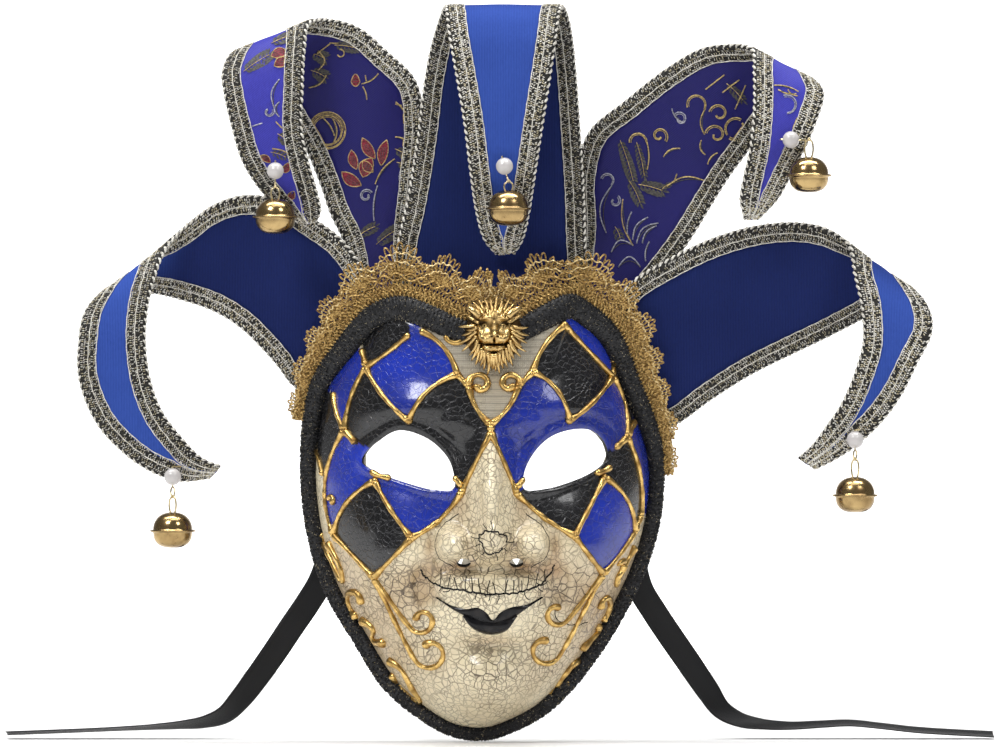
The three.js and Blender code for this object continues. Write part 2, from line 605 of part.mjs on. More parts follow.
// Straight cutter through the shell along the depth, from an outline in the front view.
function depthCutter(outline) {
  const shape = new THREE.Shape(outline.map((p) => new THREE.Vector2(p.x, p.z)));
  const geometry = new THREE.ExtrudeGeometry(shape, { depth: 120, bevelEnabled: false, steps: 1 });
  geometry.rotateX(Math.PI / 2);
  geometry.translate(0, 20, 0);
  return toSolid(geometry);
}

function smoothOutline(rows, count) {
  const loop = curveOf(rows.map((r) => new THREE.Vector3(r.x, 0, r.z)), true);
  return loop.getSpacedPoints(count).slice(0, count);
}

function ovalOutline(hole, count) {
  const points = [];
  for (let i = 0; i < count; i += 1) {
    const a = (i / count) * Math.PI * 2;
    points.push({ x: hole.x + Math.cos(a) * hole.wide / 2, z: hole.z + Math.sin(a) * hole.tall / 2 });
  }
  return points;
}

let shell = toSolid(shellGeometry());
for (const rows of [EYE_LEFT, EYE_RIGHT]) {
  shell = shell.subtract(depthCutter(smoothOutline(rows, 20)));
}
for (const hole of NOSTRILS) {
  shell = shell.subtract(depthCutter(ovalOutline(hole, 8)));
}
addMesh('face_shell', toGeometry(shell), 0xe4d6b4, 0.45, 0);

// Places along a raised line where it has to bend to follow the skin.
function bendIndexes(points, first, last) {
  const chord = new THREE.Line3(points[first], points[last]);
  const foot = new THREE.Vector3();
  let worst = 0;
  let split = -1;
  for (let i = first + 1; i < last; i += 1) {
    chord.closestPointToPoint(points[i], true, foot);
    const away = foot.distanceTo(points[i]);
    if (away > worst) {
      worst = away;
      split = i;
    }
  }
  if (worst < RELIEF_BEND) {
    return [last];
  }
  return [...bendIndexes(points, first, split), ...bendIndexes(points, split, last)];
}

// Raised gilt line on the skin along a path in the front view.
function reliefLine(path) {
  const curve = path.length > 2 ? curveOf(path, false) : new THREE.LineCurve3(path[0], path[1]);
  const steps = Math.ceil(curve.getLength());
  const track = [];
  for (let i = 0; i <= steps; i += 1) {
    const p = curve.getPointAt(i / steps);
    track.push(p.setY(skinDepth(p.x, p.z)));
  }
  const sections = [0, ...bendIndexes(track, 0, steps)].map((i) => {
    const t = curve.getTangentAt(i / steps);
    const over = (i === steps) - (i === 0);
    const middle = track[i].clone().addScaledVector(t, over * RELIEF_OVERRUN);
    const side = new THREE.Vector3(-t.z, 0, t.x).normalize().multiplyScalar(RELIEF_WIDTH / 2);
    const feet = [1, -1].map((way) => middle.clone().addScaledVector(side, way));
    for (const foot of feet) {
      foot.y = skinDepth(foot.x, foot.z) - RELIEF_GAP;
    }
    const slope = Math.abs(feet[0].y - feet[1].y) / RELIEF_WIDTH;
    const rise = RELIEF_HEIGHT * Math.min(Math.hypot(1, slope), 1.6);
    middle.y = Math.min(middle.y - RELIEF_GAP, (feet[0].y + feet[1].y) / 2) - rise;
    return [feet[0], middle, feet[1]];
  });
  return loft(sections, false);
}

function flat(p) {
  return new THREE.Vector3(p.x, 0, p.z);
}

function bowPath(start, end, bow) {
  const along = end.clone().sub(start);
  const left = new THREE.Vector3(-along.z, 0, along.x).normalize();
  const middle = start.clone().lerp(end, 0.5).addScaledVector(left, bow * 2);
  if (Math.abs(bow) < 0.5) {
    return [start, end];
  }
  return new THREE.QuadraticBezierCurve3(start, middle, end).getPoints(4);
}

function scrollPath(row) {
  const points = [flat(NODES[row.from])];
  const count = 9;
  for (let i = 0; i <= count; i += 1) {
    const f = i / count;
    const a = THREE.MathUtils.degToRad(row.a0 + (row.a1 - row.a0) * f);
    const r = row.r0 + (row.r1 - row.r0) * f;
    points.push(new THREE.Vector3(row.x + Math.cos(a) * r, 0, row.z + Math.sin(a) * r));
  }
  return points;
}

let lattice = null;
const latticePaths = LINES.map((l) => bowPath(flat(NODES[l.from]), flat(NODES[l.to]), l.bow));
latticePaths.push(...SCROLLS.map(scrollPath));
for (const path of latticePaths) {
  const line = toSolid(reliefLine(path));
  lattice = lattice ? lattice.add(line) : line;
}
const clearance = shellClearance();
addMesh('gilt_lattice', toGeometry(lattice.subtract(clearance)), 0xb8893a, 0.35, 0.8);

for (const s of RIM_STROKES) {
  const start = new THREE.Vector3(s.x0, 0, s.z0);
  const end = new THREE.Vector3(s.x1, 0, s.z1);
  const stroke = toSolid(reliefLine(bowPath(start, end, s.bow))).subtract(clearance);
  addMesh(s.name, toGeometry(stroke), 0xb8893a, 0.35, 0.8);
}

// Knitted braid round the rim, outside the edge of the shell.
const rimSections = rimSamples.map((s) => {
  const inner = s.edge.clone().addScaledVector(s.inward, s.braid - FIT_GAP * 3);
  const outer = s.edge.clone();
  const half = RIM_THICK / 2;
  return [
    inner.clone().setY(inner.y - half),
    outer.clone().setY(outer.y - half * 0.5),
    outer.clone().setY(outer.y + half * 0.5),
    inner.clone().setY(inner.y + half),
  ];
});
addMesh('rim_braid', loft(rimSections, true), 0x141416, 0.9, 0);

// Scalloped lace outside the braid.
const laceSections = [];
let laceRun = 0;
let lacePrevious = null;
for (let i = 0; i <= LACE_STEPS; i += 1) {
  const t = (LACE_FIRST + (LACE_LAST - LACE_FIRST) * (i / LACE_STEPS)) / RIM.length;
  const s = rimAt(t);
  const radial = new THREE.Vector3(s.edge.x - SHELL_CENTRE.x, 0, s.edge.z - SHELL_CENTRE.z).normalize();
  const outward = radial.multiplyScalar(0.6).addScaledVector(s.inward, -0.4).normalize();
  laceRun += lacePrevious ? s.edge.distanceTo(lacePrevious) : 0;
  lacePrevious = s.edge;
  const wave = Math.abs(Math.sin((Math.PI * laceRun) / LACE_PERIOD));
  const depth = s.lace * (0.74 + 0.26 * wave);
  const inner = s.edge.clone().addScaledVector(outward, FIT_GAP * 2);
  const outer = s.edge.clone().addScaledVector(outward, Math.max(depth, 2.5));
  outer.y += depth * 0.08;
  laceSections.push([
    inner.clone().setY(inner.y - LACE_THICK / 2),
    outer.clone().setY(outer.y - LACE_THICK / 2),
    outer.clone().setY(outer.y + LACE_THICK / 2),
    inner.clone().setY(inner.y + LACE_THICK / 2),
  ]);
}
addMesh('lace', loft(laceSections, false), 0xb48a35, 0.6, 0.3);

// Lion-head medallion: a rayed mane with head, muzzle, ears and beard.
function ball(rx, ry, rz, x, y, z, around, up) {
  const geometry = new THREE.SphereGeometry(1, around, up);
  geometry.scale(rx, rz, ry);
  geometry.rotateX(Math.PI / 2);
  geometry.translate(x, y, z);
  return toSolid(geometry);
}

function maneSolid() {
  const rays = 10;
  const count = rays * 2;
  const rings = [
    { size: 1, y: 0 },
    { size: 1, y: -1.4 },
    { size: 0.7, y: -3.4 },
    { size: 0.3, y: -4.6 },
  ];
  const sections = rings.map((ring) => {
    const section = [];
    for (let i = 0; i < count; i += 1) {
      const a = (i / count) * Math.PI * 2;
      const reach = ring.size * (i % 2 === 0 ? 1 : 0.86);
      section.push(new THREE.Vector3(Math.cos(a) * 15.2 * reach, ring.y, Math.sin(a) * 16.5 * reach));
    }
    return section;
  });
  return toSolid(loft(sections, false));
}

let lion = maneSolid();
lion = lion.add(ball(8, 4.6, 9, 0, -4, -0.5, 8, 4));
lion = lion.add(ball(4.4, 3.6, 3.6, 0, -7.4, -3.6, 7, 4));
lion = lion.add(ball(2.4, 2, 2.6, -7.4, -4.6, 7, 6, 4));
lion = lion.add(ball(2.4, 2, 2.6, 7.4, -4.6, 7, 6, 4));
lion = lion.add(ball(3, 2.4, 4, 0, -4.8, -10, 6, 4));
const medallion = addMesh('medallion', toGeometry(lion), 0xb08a4a, 0.35, 0.9);
medallion.position.set(3.8, -47.1, 63.5);
medallion.rotation.x = THREE.MathUtils.degToRad(-4);

// Sections of a horn: both edges, the direction across and the direction through the cloth.
function hornSections(rows) {
  const edgeA = curveOf(rows.map((r) => new THREE.Vector3(r.ax, r.ay, r.az)), false);
  const edgeB = curveOf(rows.map((r) => new THREE.Vector3(r.bx, r.by, r.bz)), false);
  const sections = [];
  for (let i = 0; i <= HORN_STEPS; i += 1) {
    const t = i / HORN_STEPS;
    const a = edgeA.getPoint(t);
    const b = edgeB.getPoint(t);
    const across = b.clone().sub(a);
    const width = across.length();
    across.normalize();
    const tangents = [edgeA.getTangent(t), edgeB.getTangent(t)];
    const insets = tangents.map((way) => {
      const slant = new THREE.Vector3().crossVectors(across, way).length();
      return Math.min(BRAID_WIDTH / Math.max(slant, 0.6), width);
    });
    const along = tangents[0].add(tangents[1]).normalize();
    const through = new THREE.Vector3().crossVectors(across, along).normalize();
    sections.push({ a, b, across, width, through, insets });
  }
  return sections;
}

function slab(from, to, through, thick) {
  return [
    from.clone().addScaledVector(through, thick / 2),
    to.clone().addScaledVector(through, thick / 2),
    to.clone().addScaledVector(through, -thick / 2),
    from.clone().addScaledVector(through, -thick / 2),
  ];
}

for (const horn of HORNS) {
  const sections = hornSections(horn.rows);
  const clothRows = sections.filter((s) => s.width > s.insets[0] + s.insets[1] + 2);
  const cloth = loft(clothRows.map((s) => {
    const from = s.a.clone().addScaledVector(s.across, s.insets[0] + FIT_GAP * 2);
    const to = s.b.clone().addScaledVector(s.across, -s.insets[1] - FIT_GAP * 2);
    return slab(from, to, s.through, CLOTH_THICK);
  }), false);
  addMesh(`horn_${horn.name}`, cloth, horn.colour, 0.75, 0);
  const sides = [0, 1].map((side) => toSolid(loft(sections.map((s) => {
    const innerA = s.a.clone().addScaledVector(s.across, s.insets[0]);
    const innerB = s.b.clone().addScaledVector(s.across, -s.insets[1]);
    const [from, to] = side === 0 ? [innerA, s.a] : [s.b, innerB];
    return slab(from, to, s.through, BRAID_THICK);
  }), false)));
  addMesh(`braid_${horn.name}`, toGeometry(sides[0].add(sides[1])), 0x8d8a78, 0.85, 0.1);
}

// Closed oval of round wire, long along Z and lying in the plane of X and Z.
function wireOval(wide, high) {
  const points = [];
  const count = 8;
  for (let i = 0; i < count; i += 1) {
    const a = (i / count) * Math.PI * 2;
    points.push(new THREE.Vector3(Math.sin(a) * wide / 2, 0, Math.cos(a) * high / 2));
  }
  const section = [];
  for (let i = 0; i < 5; i += 1) {
    const a = (i / 5) * Math.PI * 2;
    section.push(new THREE.Vector2(Math.cos(a) * WIRE_RADIUS, Math.sin(a) * WIRE_RADIUS));
  }
  const rings = points.map((p, i) => {
    const next = points[(i + 1) % count];
    const last = points[(i + count - 1) % count];
    const along = next.clone().sub(last).normalize();
    const side = new THREE.Vector3(along.z, 0, -along.x);
    return section.map((q) => p.clone().addScaledVector(side, q.x).add(new THREE.Vector3(0, q.y, 0)));
  });
  return loft(rings, true);
}

function bellGeometry(loopTop) {
  const half = BELL_HEIGHT / 2;
  const outline = [
    new THREE.Vector2(0, -half),
    new THREE.Vector2(BELL_RADIUS * 0.6, -half * 0.82),
    new THREE.Vector2(BELL_RADIUS * 0.95, -half * 0.36),
    new THREE.Vector2(BELL_FLANGE, -0.6),
    new THREE.Vector2(BELL_FLANGE, 0.6),
    new THREE.Vector2(BELL_RADIUS * 0.95, half * 0.36),
    new THREE.Vector2(BELL_RADIUS * 0.6, half * 0.82),
    new THREE.Vector2(0, half),
  ];
  const hollow = [
    new THREE.Vector2(0, -half + BELL_WALL),
    new THREE.Vector2(BELL_RADIUS * 0.66 - BELL_WALL, -half * 0.66),
    new THREE.Vector2(BELL_RADIUS * 0.96 - BELL_WALL, 0),
    new THREE.Vector2(BELL_RADIUS * 0.66 - BELL_WALL, half * 0.66),
    new THREE.Vector2(0, half - BELL_WALL),
  ];
  const outer = toSolid(new THREE.LatheGeometry(outline, 10).rotateX(Math.PI / 2));
  const inner = toSolid(new THREE.LatheGeometry(hollow, 8).rotateX(Math.PI / 2));
  const slot = new THREE.BoxGeometry(BELL_RADIUS * 1.5, BELL_SLOT, half).translate(0, 0, -half * 0.9);
  const high = loopTop - half + 0.5;
  const loop = wireOval(LOOP_WIDTH, high).translate(0, 0, loopTop - high / 2);
  return toGeometry(outer.subtract(inner).subtract(toSolid(slot)).add(toSolid(loop)));
}

function pearlGeometry() {
  const outline = [];
  const reach = Math.acos(PEARL_BORE / PEARL_RADIUS);
  for (let i = 0; i <= 5; i += 1) {
    const a = -reach + (i / 5) * reach * 2;
    outline.push(new THREE.Vector2(Math.cos(a) * PEARL_RADIUS, Math.sin(a) * PEARL_RADIUS));
  }
  outline.push(outline[0].clone());
  return closedGeometry(new THREE.LatheGeometry(outline, 10).rotateX(Math.PI / 2));
}

// Wire pin through the pearl: an eye whose far wire lies on the hinge, and a tail bent back to the cloth.
function pinGeometry(reach, tailLength) {
  const eyeTop = PEARL_RADIUS + FIT_GAP + WIRE_RADIUS;
  const high = reach - eyeTop;
  const eye = wireOval(EYE_WIDTH, high).rotateZ(Math.PI / 2).translate(0, 0, -eyeTop - high / 2);
  const stem = new THREE.CylinderGeometry(WIRE_RADIUS, WIRE_RADIUS, PEARL_RADIUS * 2 + 1.4, 5);
  stem.rotateX(Math.PI / 2);
  const tail = new THREE.CylinderGeometry(WIRE_RADIUS, WIRE_RADIUS, tailLength, 5);
  tail.translate(0, tailLength / 2, PEARL_RADIUS + 0.7);
  return toGeometry(toSolid(eye).add(toSolid(stem)).add(toSolid(tail)));
}

for (const b of BELLS) {
  const link = new THREE.Vector3(b.hingeX - b.x, 0, b.hingeZ - b.z);
  const tilt = Math.atan2(-link.x, -link.z);
  const turn = THREE.MathUtils.degToRad(-b.turn);
  const pearl = addMesh(`pearl_${b.name}`, pearlGeometry(), 0xeee9df, 0.25, 0);
  const pin = addMesh(`pin_${b.name}`, pinGeometry(link.length(), b.tail), 0xd8c79a, 0.3, 0.9);
  for (const piece of [pearl, pin]) {
    piece.position.set(b.x, b.y, b.z);
    piece.rotation.set(0, tilt, turn, 'ZYX');
  }
  const loopTop = b.hingeZ + LINK_PITCH - b.bellZ;
  const bell = addMesh(`bell_${b.name}`, bellGeometry(loopTop), 0x9c7a3c, 0.3, 0.95);
  bell.position.set(b.hingeX, b.y, b.bellZ);
  bell.rotation.z = turn;
}

// Satin strip along a route, its width swinging from upright to flat.
function ribbonGeometry(rows) {
  const route = curveOf(rows.map((r) => new THREE.Vector3(r.x, r.y, r.z)), false);
  const steps = rows.length - 1;
  const sections = rows.map((row, i) => {
    const along = route.getTangent(i / steps);
    const upright = new THREE.Vector3(-along.z, 0, along.x).normalize();
    const turn = THREE.MathUtils.degToRad(row.turn);
    const across = upright.multiplyScalar(Math.cos(turn)).add(new THREE.Vector3(0, Math.sin(turn), 0));
    const through = new THREE.Vector3().crossVectors(along, across).normalize();
    const centre = new THREE.Vector3(row.x, row.y, row.z);
    const from = centre.clone().addScaledVector(across, -RIBBON_WIDTH / 2);
    const to = centre.clone().addScaledVector(across, RIBBON_WIDTH / 2);
    return slab(from, to, through, RIBBON_THICK);
  });
  return loft(sections, false);
}

addMesh('ribbon_left', ribbonGeometry(RIBBON_LEFT), 0x101012, 0.4, 0);
addMesh('ribbon_right', ribbonGeometry(RIBBON_RIGHT), 0x101012, 0.4, 0);

export default mask;
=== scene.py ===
import math
import random

import bpy
import numpy as np
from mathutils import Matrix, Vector


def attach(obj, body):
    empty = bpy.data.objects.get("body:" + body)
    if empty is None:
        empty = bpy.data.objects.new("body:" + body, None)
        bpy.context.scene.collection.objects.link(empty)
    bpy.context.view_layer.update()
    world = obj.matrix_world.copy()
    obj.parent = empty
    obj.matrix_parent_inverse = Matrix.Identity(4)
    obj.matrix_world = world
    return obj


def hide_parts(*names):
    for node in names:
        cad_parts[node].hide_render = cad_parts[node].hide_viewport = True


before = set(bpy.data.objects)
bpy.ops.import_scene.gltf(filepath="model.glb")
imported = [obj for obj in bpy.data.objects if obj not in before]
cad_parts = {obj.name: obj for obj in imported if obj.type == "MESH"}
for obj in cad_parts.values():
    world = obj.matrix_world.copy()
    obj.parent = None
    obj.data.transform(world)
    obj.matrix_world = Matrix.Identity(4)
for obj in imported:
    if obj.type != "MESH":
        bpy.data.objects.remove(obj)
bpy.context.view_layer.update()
rng = random.Random(7)
MM = 0.001
AHEAD = np.array((0.0, -1.0, 0.0))
FLOOR_Z = -0.1286

# Camera at the photograph's angle: level, square on, from far away. Metres, but for the sensor in mm.
SENSOR = 36
FRAME_WIDTH = 0.470
CAMERA_AWAY = 3.0
CAMERA_PLACE = (0.0066, -3.03, 0.0454)
camera = bpy.data.objects.new("camera", bpy.data.cameras.new("camera"))
bpy.context.scene.collection.objects.link(camera)
camera.location = CAMERA_PLACE
camera.rotation_euler = (math.pi / 2, 0, 0)
camera.data.sensor_width = SENSOR
camera.data.lens = SENSOR * CAMERA_AWAY / FRAME_WIDTH
bpy.context.scene.camera = camera

# Tie ribbons in metres, from inside the rim down to the floor: x, y, z, turn of the width in degrees.
RIBBON_WIDTH = 0.012
RIBBON_THICK = 0.0005
RIBBON_CURL = 0.0006
RIBBON_LEFT = [
    (-0.0750, 0.0061, -0.0340, 0), (-0.0755, 0.0066, -0.0440, 0), (-0.0790, 0.0082, -0.0540, 0),
    (-0.0850, 0.0095, -0.0640, 0), (-0.0925, 0.0095, -0.0750, 5), (-0.1005, 0.0095, -0.0870, 10),
    (-0.1090, 0.0095, -0.0990, 18), (-0.1170, 0.0095, -0.1095, 30), (-0.1245, 0.0095, -0.1170, 45),
    (-0.1340, 0.0095, -0.1205, 60), (-0.1460, 0.0095, -0.1220, 70), (-0.1600, 0.0095, -0.1230, 76),
    (-0.1750, 0.0095, -0.1238, 79), (-0.1920, 0.0095, -0.1246, 80), (-0.2100, 0.0095, -0.1253, 80),
    (-0.2284, 0.0095, -0.1260, 80),
]
RIBBON_RIGHT = [
    (0.0705, 0.0058, -0.0340, 0), (0.0705, 0.0066, -0.0450, 0), (0.0735, 0.0082, -0.0570, 0),
    (0.0800, 0.0095, -0.0680, 0), (0.0880, 0.0095, -0.0800, 5), (0.0970, 0.0095, -0.0930, 12),
    (0.1055, 0.0095, -0.1055, 24), (0.1120, 0.0095, -0.1145, 42), (0.1210, 0.0095, -0.1195, 58),
    (0.1320, 0.0095, -0.1216, 70), (0.1450, 0.0095, -0.1223, 76), (0.1590, 0.0095, -0.1216, 78),
    (0.1730, 0.0095, -0.1210, 79), (0.1880, 0.0095, -0.1224, 80), (0.2040, 0.0095, -0.1242, 80),
    (0.2220, 0.0095, -0.1254, 80), (0.2416, 0.0095, -0.1264, 80),
]

# Rim of the mask in mm, from the chin round by the left temple: x, z, y, braid width, lace depth.
RIM = np.array([
    (0, -127.8, -16, 6, 0), (-16.5, -126, -15, 6, 0), (-31, -118, -13, 6, 0), (-47, -104, -10, 6, 0),
    (-62, -81, -5, 6, 0), (-76, -57, 0, 6, 0), (-84, -30, 3, 6, 0), (-87, -4, 4, 6, 2),
    (-86, 23, 1, 7, 6), (-82, 42, -5, 8, 9), (-71, 60, -16, 10, 13), (-56, 77, -27, 11, 19),
    (-41, 82, -35, 11, 23), (-26, 78, -40, 11, 23), (-12, 71, -43, 10, 24), (2, 67, -44, 9, 26),
    (15, 71, -43, 10, 23), (27, 78, -40, 11, 22), (40, 83, -35, 11, 21), (53, 76, -27, 11, 20),
    (63, 65, -17, 10, 16), (72, 44, -6, 9, 12), (82, 14, 2, 7, 8), (83.5, -3, 4, 6, 4),
    (81, -27, 3, 6, 0), (73, -52, 0, 6, 0), (59, -78, -5, 6, 0), (47, -95, -9, 6, 0),
    (30, -114, -13, 6, 0), (15, -123, -15, 6, 0),
], float)
LACE_FIRST = 8
LACE_LAST = 23
SCALLOP = 16.0

# Forms of the face in mm: x, z, half width, half height, rise.
FACE_FORMS = np.array([
    (2.4, 4, 8, 16, 7), (2.6, -14, 8.5, 13, 12), (3.2, -31, 10.5, 10.5, 17), (-15, -36.5, 7.5, 7, 4),
    (21.4, -36.5, 7.5, 7, 4), (-38, 30, 26, 10, 5), (41, 30, 26, 10, 5), (-36, 5, 20, 13, -6),
    (38, 5, 20, 13, -6), (-44, -34, 21, 20, 5), (47, -34, 21, 20, 5), (1, -62, 26, 16, 6),
    (0.5, -63.5, 18, 4.5, 2.5), (1, -72, 12, 4.5, 3.5), (1, -83, 18, 6, -3), (1, -102, 17, 14, 8),
], float)
# Crisper forms on top of them: nose wings and ball, muzzle, folds, chin, bridge and brows.
CRISP_FORMS = np.array([
    (-15.8, -33.5, 7.6, 7.2, 10.5), (22.2, -33.5, 7.6, 7.2, 10.5), (3.2, -33, 8.5, 8, 4.6),
    (-21, -25.5, 2.4, 3.2, -1.6), (27, -25.5, 2.4, 3.2, -1.6), (-24.4, -33, 2.2, 4.4, -2.4),
    (30.4, -33, 2.2, 4.4, -2.4), (-22, -41, 2.6, 3, -2.4), (28, -41, 2.6, 3, -2.4), (3, -46.5, 20, 2.2, -2.4),
    (3, -53.5, 25, 7.5, 5), (-29.5, -53, 5, 9, -4), (34, -52, 5, 9, -4), (-24, -60, 3, 3, -1.4),
    (27.5, -60, 3, 3, -1.4), (3, -98, 17, 11, 3), (3, -80.5, 14, 3.2, -2), (-41, -43, 13, 11, 2.2),
    (46, -42, 13, 11, 2.2), (2.6, -8, 4.6, 16, 4.5), (-14, 21, 8, 5, 2), (19, 21, 8, 5, 2),
], float)
SHELL_CENTRE = np.array((3.0, -30.0))
SHELL_FRONT = -50.0
WALL = 2.0
EYE_LEFT = [(-58.3, 3.8), (-51.5, -0.7), (-36.5, -6), (-24, -9), (-15, -8.5), (-15.5, 0.5), (-18.5, 7),
            (-27.4, 15), (-40.7, 18.8), (-50, 14), (-56.4, 8.5)]
EYE_RIGHT = [(57.2, 5.5), (50, -0.7), (39, -5.5), (28, -8.5), (17.9, -8.5), (18, -0.7), (23, 9),
             (30.7, 16), (41.5, 19.3), (50, 18.5), (56, 12.5)]
NOSTRILS = [(-10.3, -43, 3.3, 2.1), (14.3, -43, 3.3, 2.1)]

# Meeting points of the gilt lines in mm.
NODES = {
    "brow": (2.4, 17.9), "heart": (2.2, 21.6), "heartL": (-8, 39.5), "heartR": (15.3, 39.5),
    "topL": (-13.4, 44.9), "edgeL": (-31, 65.5), "overEyeL": (-36, 23.5), "templeL": (-56.3, 48.4),
    "freeL": (-35.5, 64), "rimL": (-58.5, 57), "sideL": (-66.5, 18.8), "sideRimL": (-71.7, 36.7),
    "lidL": (-60.8, 12.4), "cheekL": (-72, -30.6), "cornerL": (-52, -5), "underL": (-34.7, -31.3),
    "noseL": (-11.3, -9.8), "jawL": (-52.6, -50.3), "topR": (21.9, 46.2), "edgeR": (36.8, 68),
    "overEyeR": (39, 23.5), "templeR": (59.5, 43.9), "rimR": (59.8, 53), "sideR": (66.4, 15.5),
    "sideRimR": (70.3, 23.3), "lidR": (60.5, 10), "outerR": (73, -22), "cheekR": (70, -29.4),
    "cornerR": (55.6, -3.5), "underR": (41.5, -30.6), "noseR": (14.3, -10.5), "jawR": (54.8, -48.6),
}
LINES = [
    ("brow", "heart", 0), ("heart", "heartL", 2), ("heart", "heartR", -2), ("heartL", "topL", 0),
    ("heartR", "topR", 0), ("topL", "edgeL", -3.4), ("topL", "overEyeL", -3.8),
    ("overEyeL", "templeL", 2.2), ("templeL", "freeL", -0.7), ("templeL", "rimL", 0),
    ("templeL", "sideL", -2.1), ("sideRimL", "sideL", -1.3), ("sideL", "lidL", 0),
    ("sideL", "cheekL", -6.5), ("cornerL", "cheekL", -4.1), ("cornerL", "underL", -1),
    ("underL", "noseL", -2.6), ("noseL", "brow", 0), ("underL", "jawL", 0), ("cheekL", "jawL", 0),
    ("topR", "edgeR", 2.4), ("topR", "overEyeR", 3.9), ("overEyeR", "templeR", -1.9),
    ("templeR", "edgeR", 0), ("templeR", "rimR", 0), ("templeR", "sideR", 2.7),
    ("sideR", "sideRimR", 0), ("sideR", "lidR", 0), ("sideR", "outerR", 3), ("outerR", "cheekR", 0),
    ("cheekR", "jawR", 0.8), ("cornerR", "cheekR", 4.2), ("cornerR", "underR", 0),
    ("underR", "noseR", 1.5), ("noseR", "brow", 0), ("underR", "jawR", 0),
]
# Scrolls: start, centre x, z, first and last radius, first and last angle.
SCROLLS = [
    ("heartL", -2.7, 40.3, 5.4, 1.3, 172, -190), ("heartR", 11.0, 40.6, 4.9, 1.3, 8, 370),
    ("jawL", -29.8, -70, 6.5, 2.4, -130, 190), ("jawL", -26, -85.5, 8, 4, -150, 140),
    ("jawR", 33, -67, 6, 2.6, -40, -310), ("jawR", 27.5, -84, 7.5, 4, -35, -295),
]
# Harlequin cells: colour, then the corners; a pair of numbers is a free corner.
EYE_L = (-36, 5)
EYE_R = (38, 5)
CELLS = [
    ("canvas", ["heart", "heartL", "topL", "edgeL", (-31.5, 79), (15, 84), "edgeR", "topR", "heartR"]),
    ("blue", ["rimL", "templeL", "sideL", "sideRimL", (-98, 40), (-80, 75)]),
    ("black", ["templeL", "freeL", (-36, 84), (-66, 84), "rimL"]),
    ("blue", ["topL", "overEyeL", "templeL", "freeL", (-36.8, 79), (-31.5, 79), "edgeL"]),
    ("black", ["topL", "overEyeL", "templeL", "sideL", "lidL", EYE_L, "noseL", "brow", "heart", "heartL"]),
    ("black", ["sideRimL", "sideL", (-72.5, 9), (-74.6, 2), (-77, -3), (-82, 15), (-98, 20), (-98, 38)]),
    ("blue", ["sideL", "cheekL", "cornerL", EYE_L, "lidL"]),
    ("black", ["cheekL", "cornerL", "underL", "jawL"]),
    ("blue", ["cornerL", "underL", "noseL", EYE_L]),
    ("black", ["topR", "overEyeR", "templeR", "edgeR"]),
    ("blue", ["edgeR", "templeR", "rimR", (82, 72), (45, 90)]),
    ("blue", ["topR", "overEyeR", "templeR", "sideR", "lidR", EYE_R, "noseR", "brow", "heart", "heartR"]),
    ("black", ["rimR", "templeR", "sideR", "sideRimR", (98, 25), (85, 60)]),
    ("blue", ["sideRimR", "sideR", "outerR", (98, -24), (98, 22)]),
    ("black", ["sideR", "outerR", "cheekR", "cornerR", EYE_R, "lidR"]),
    ("black", ["cornerR", "underR", "noseR", EYE_R]),
    ("blue", ["cornerR", "cheekR", "jawR", "underR"]),
]


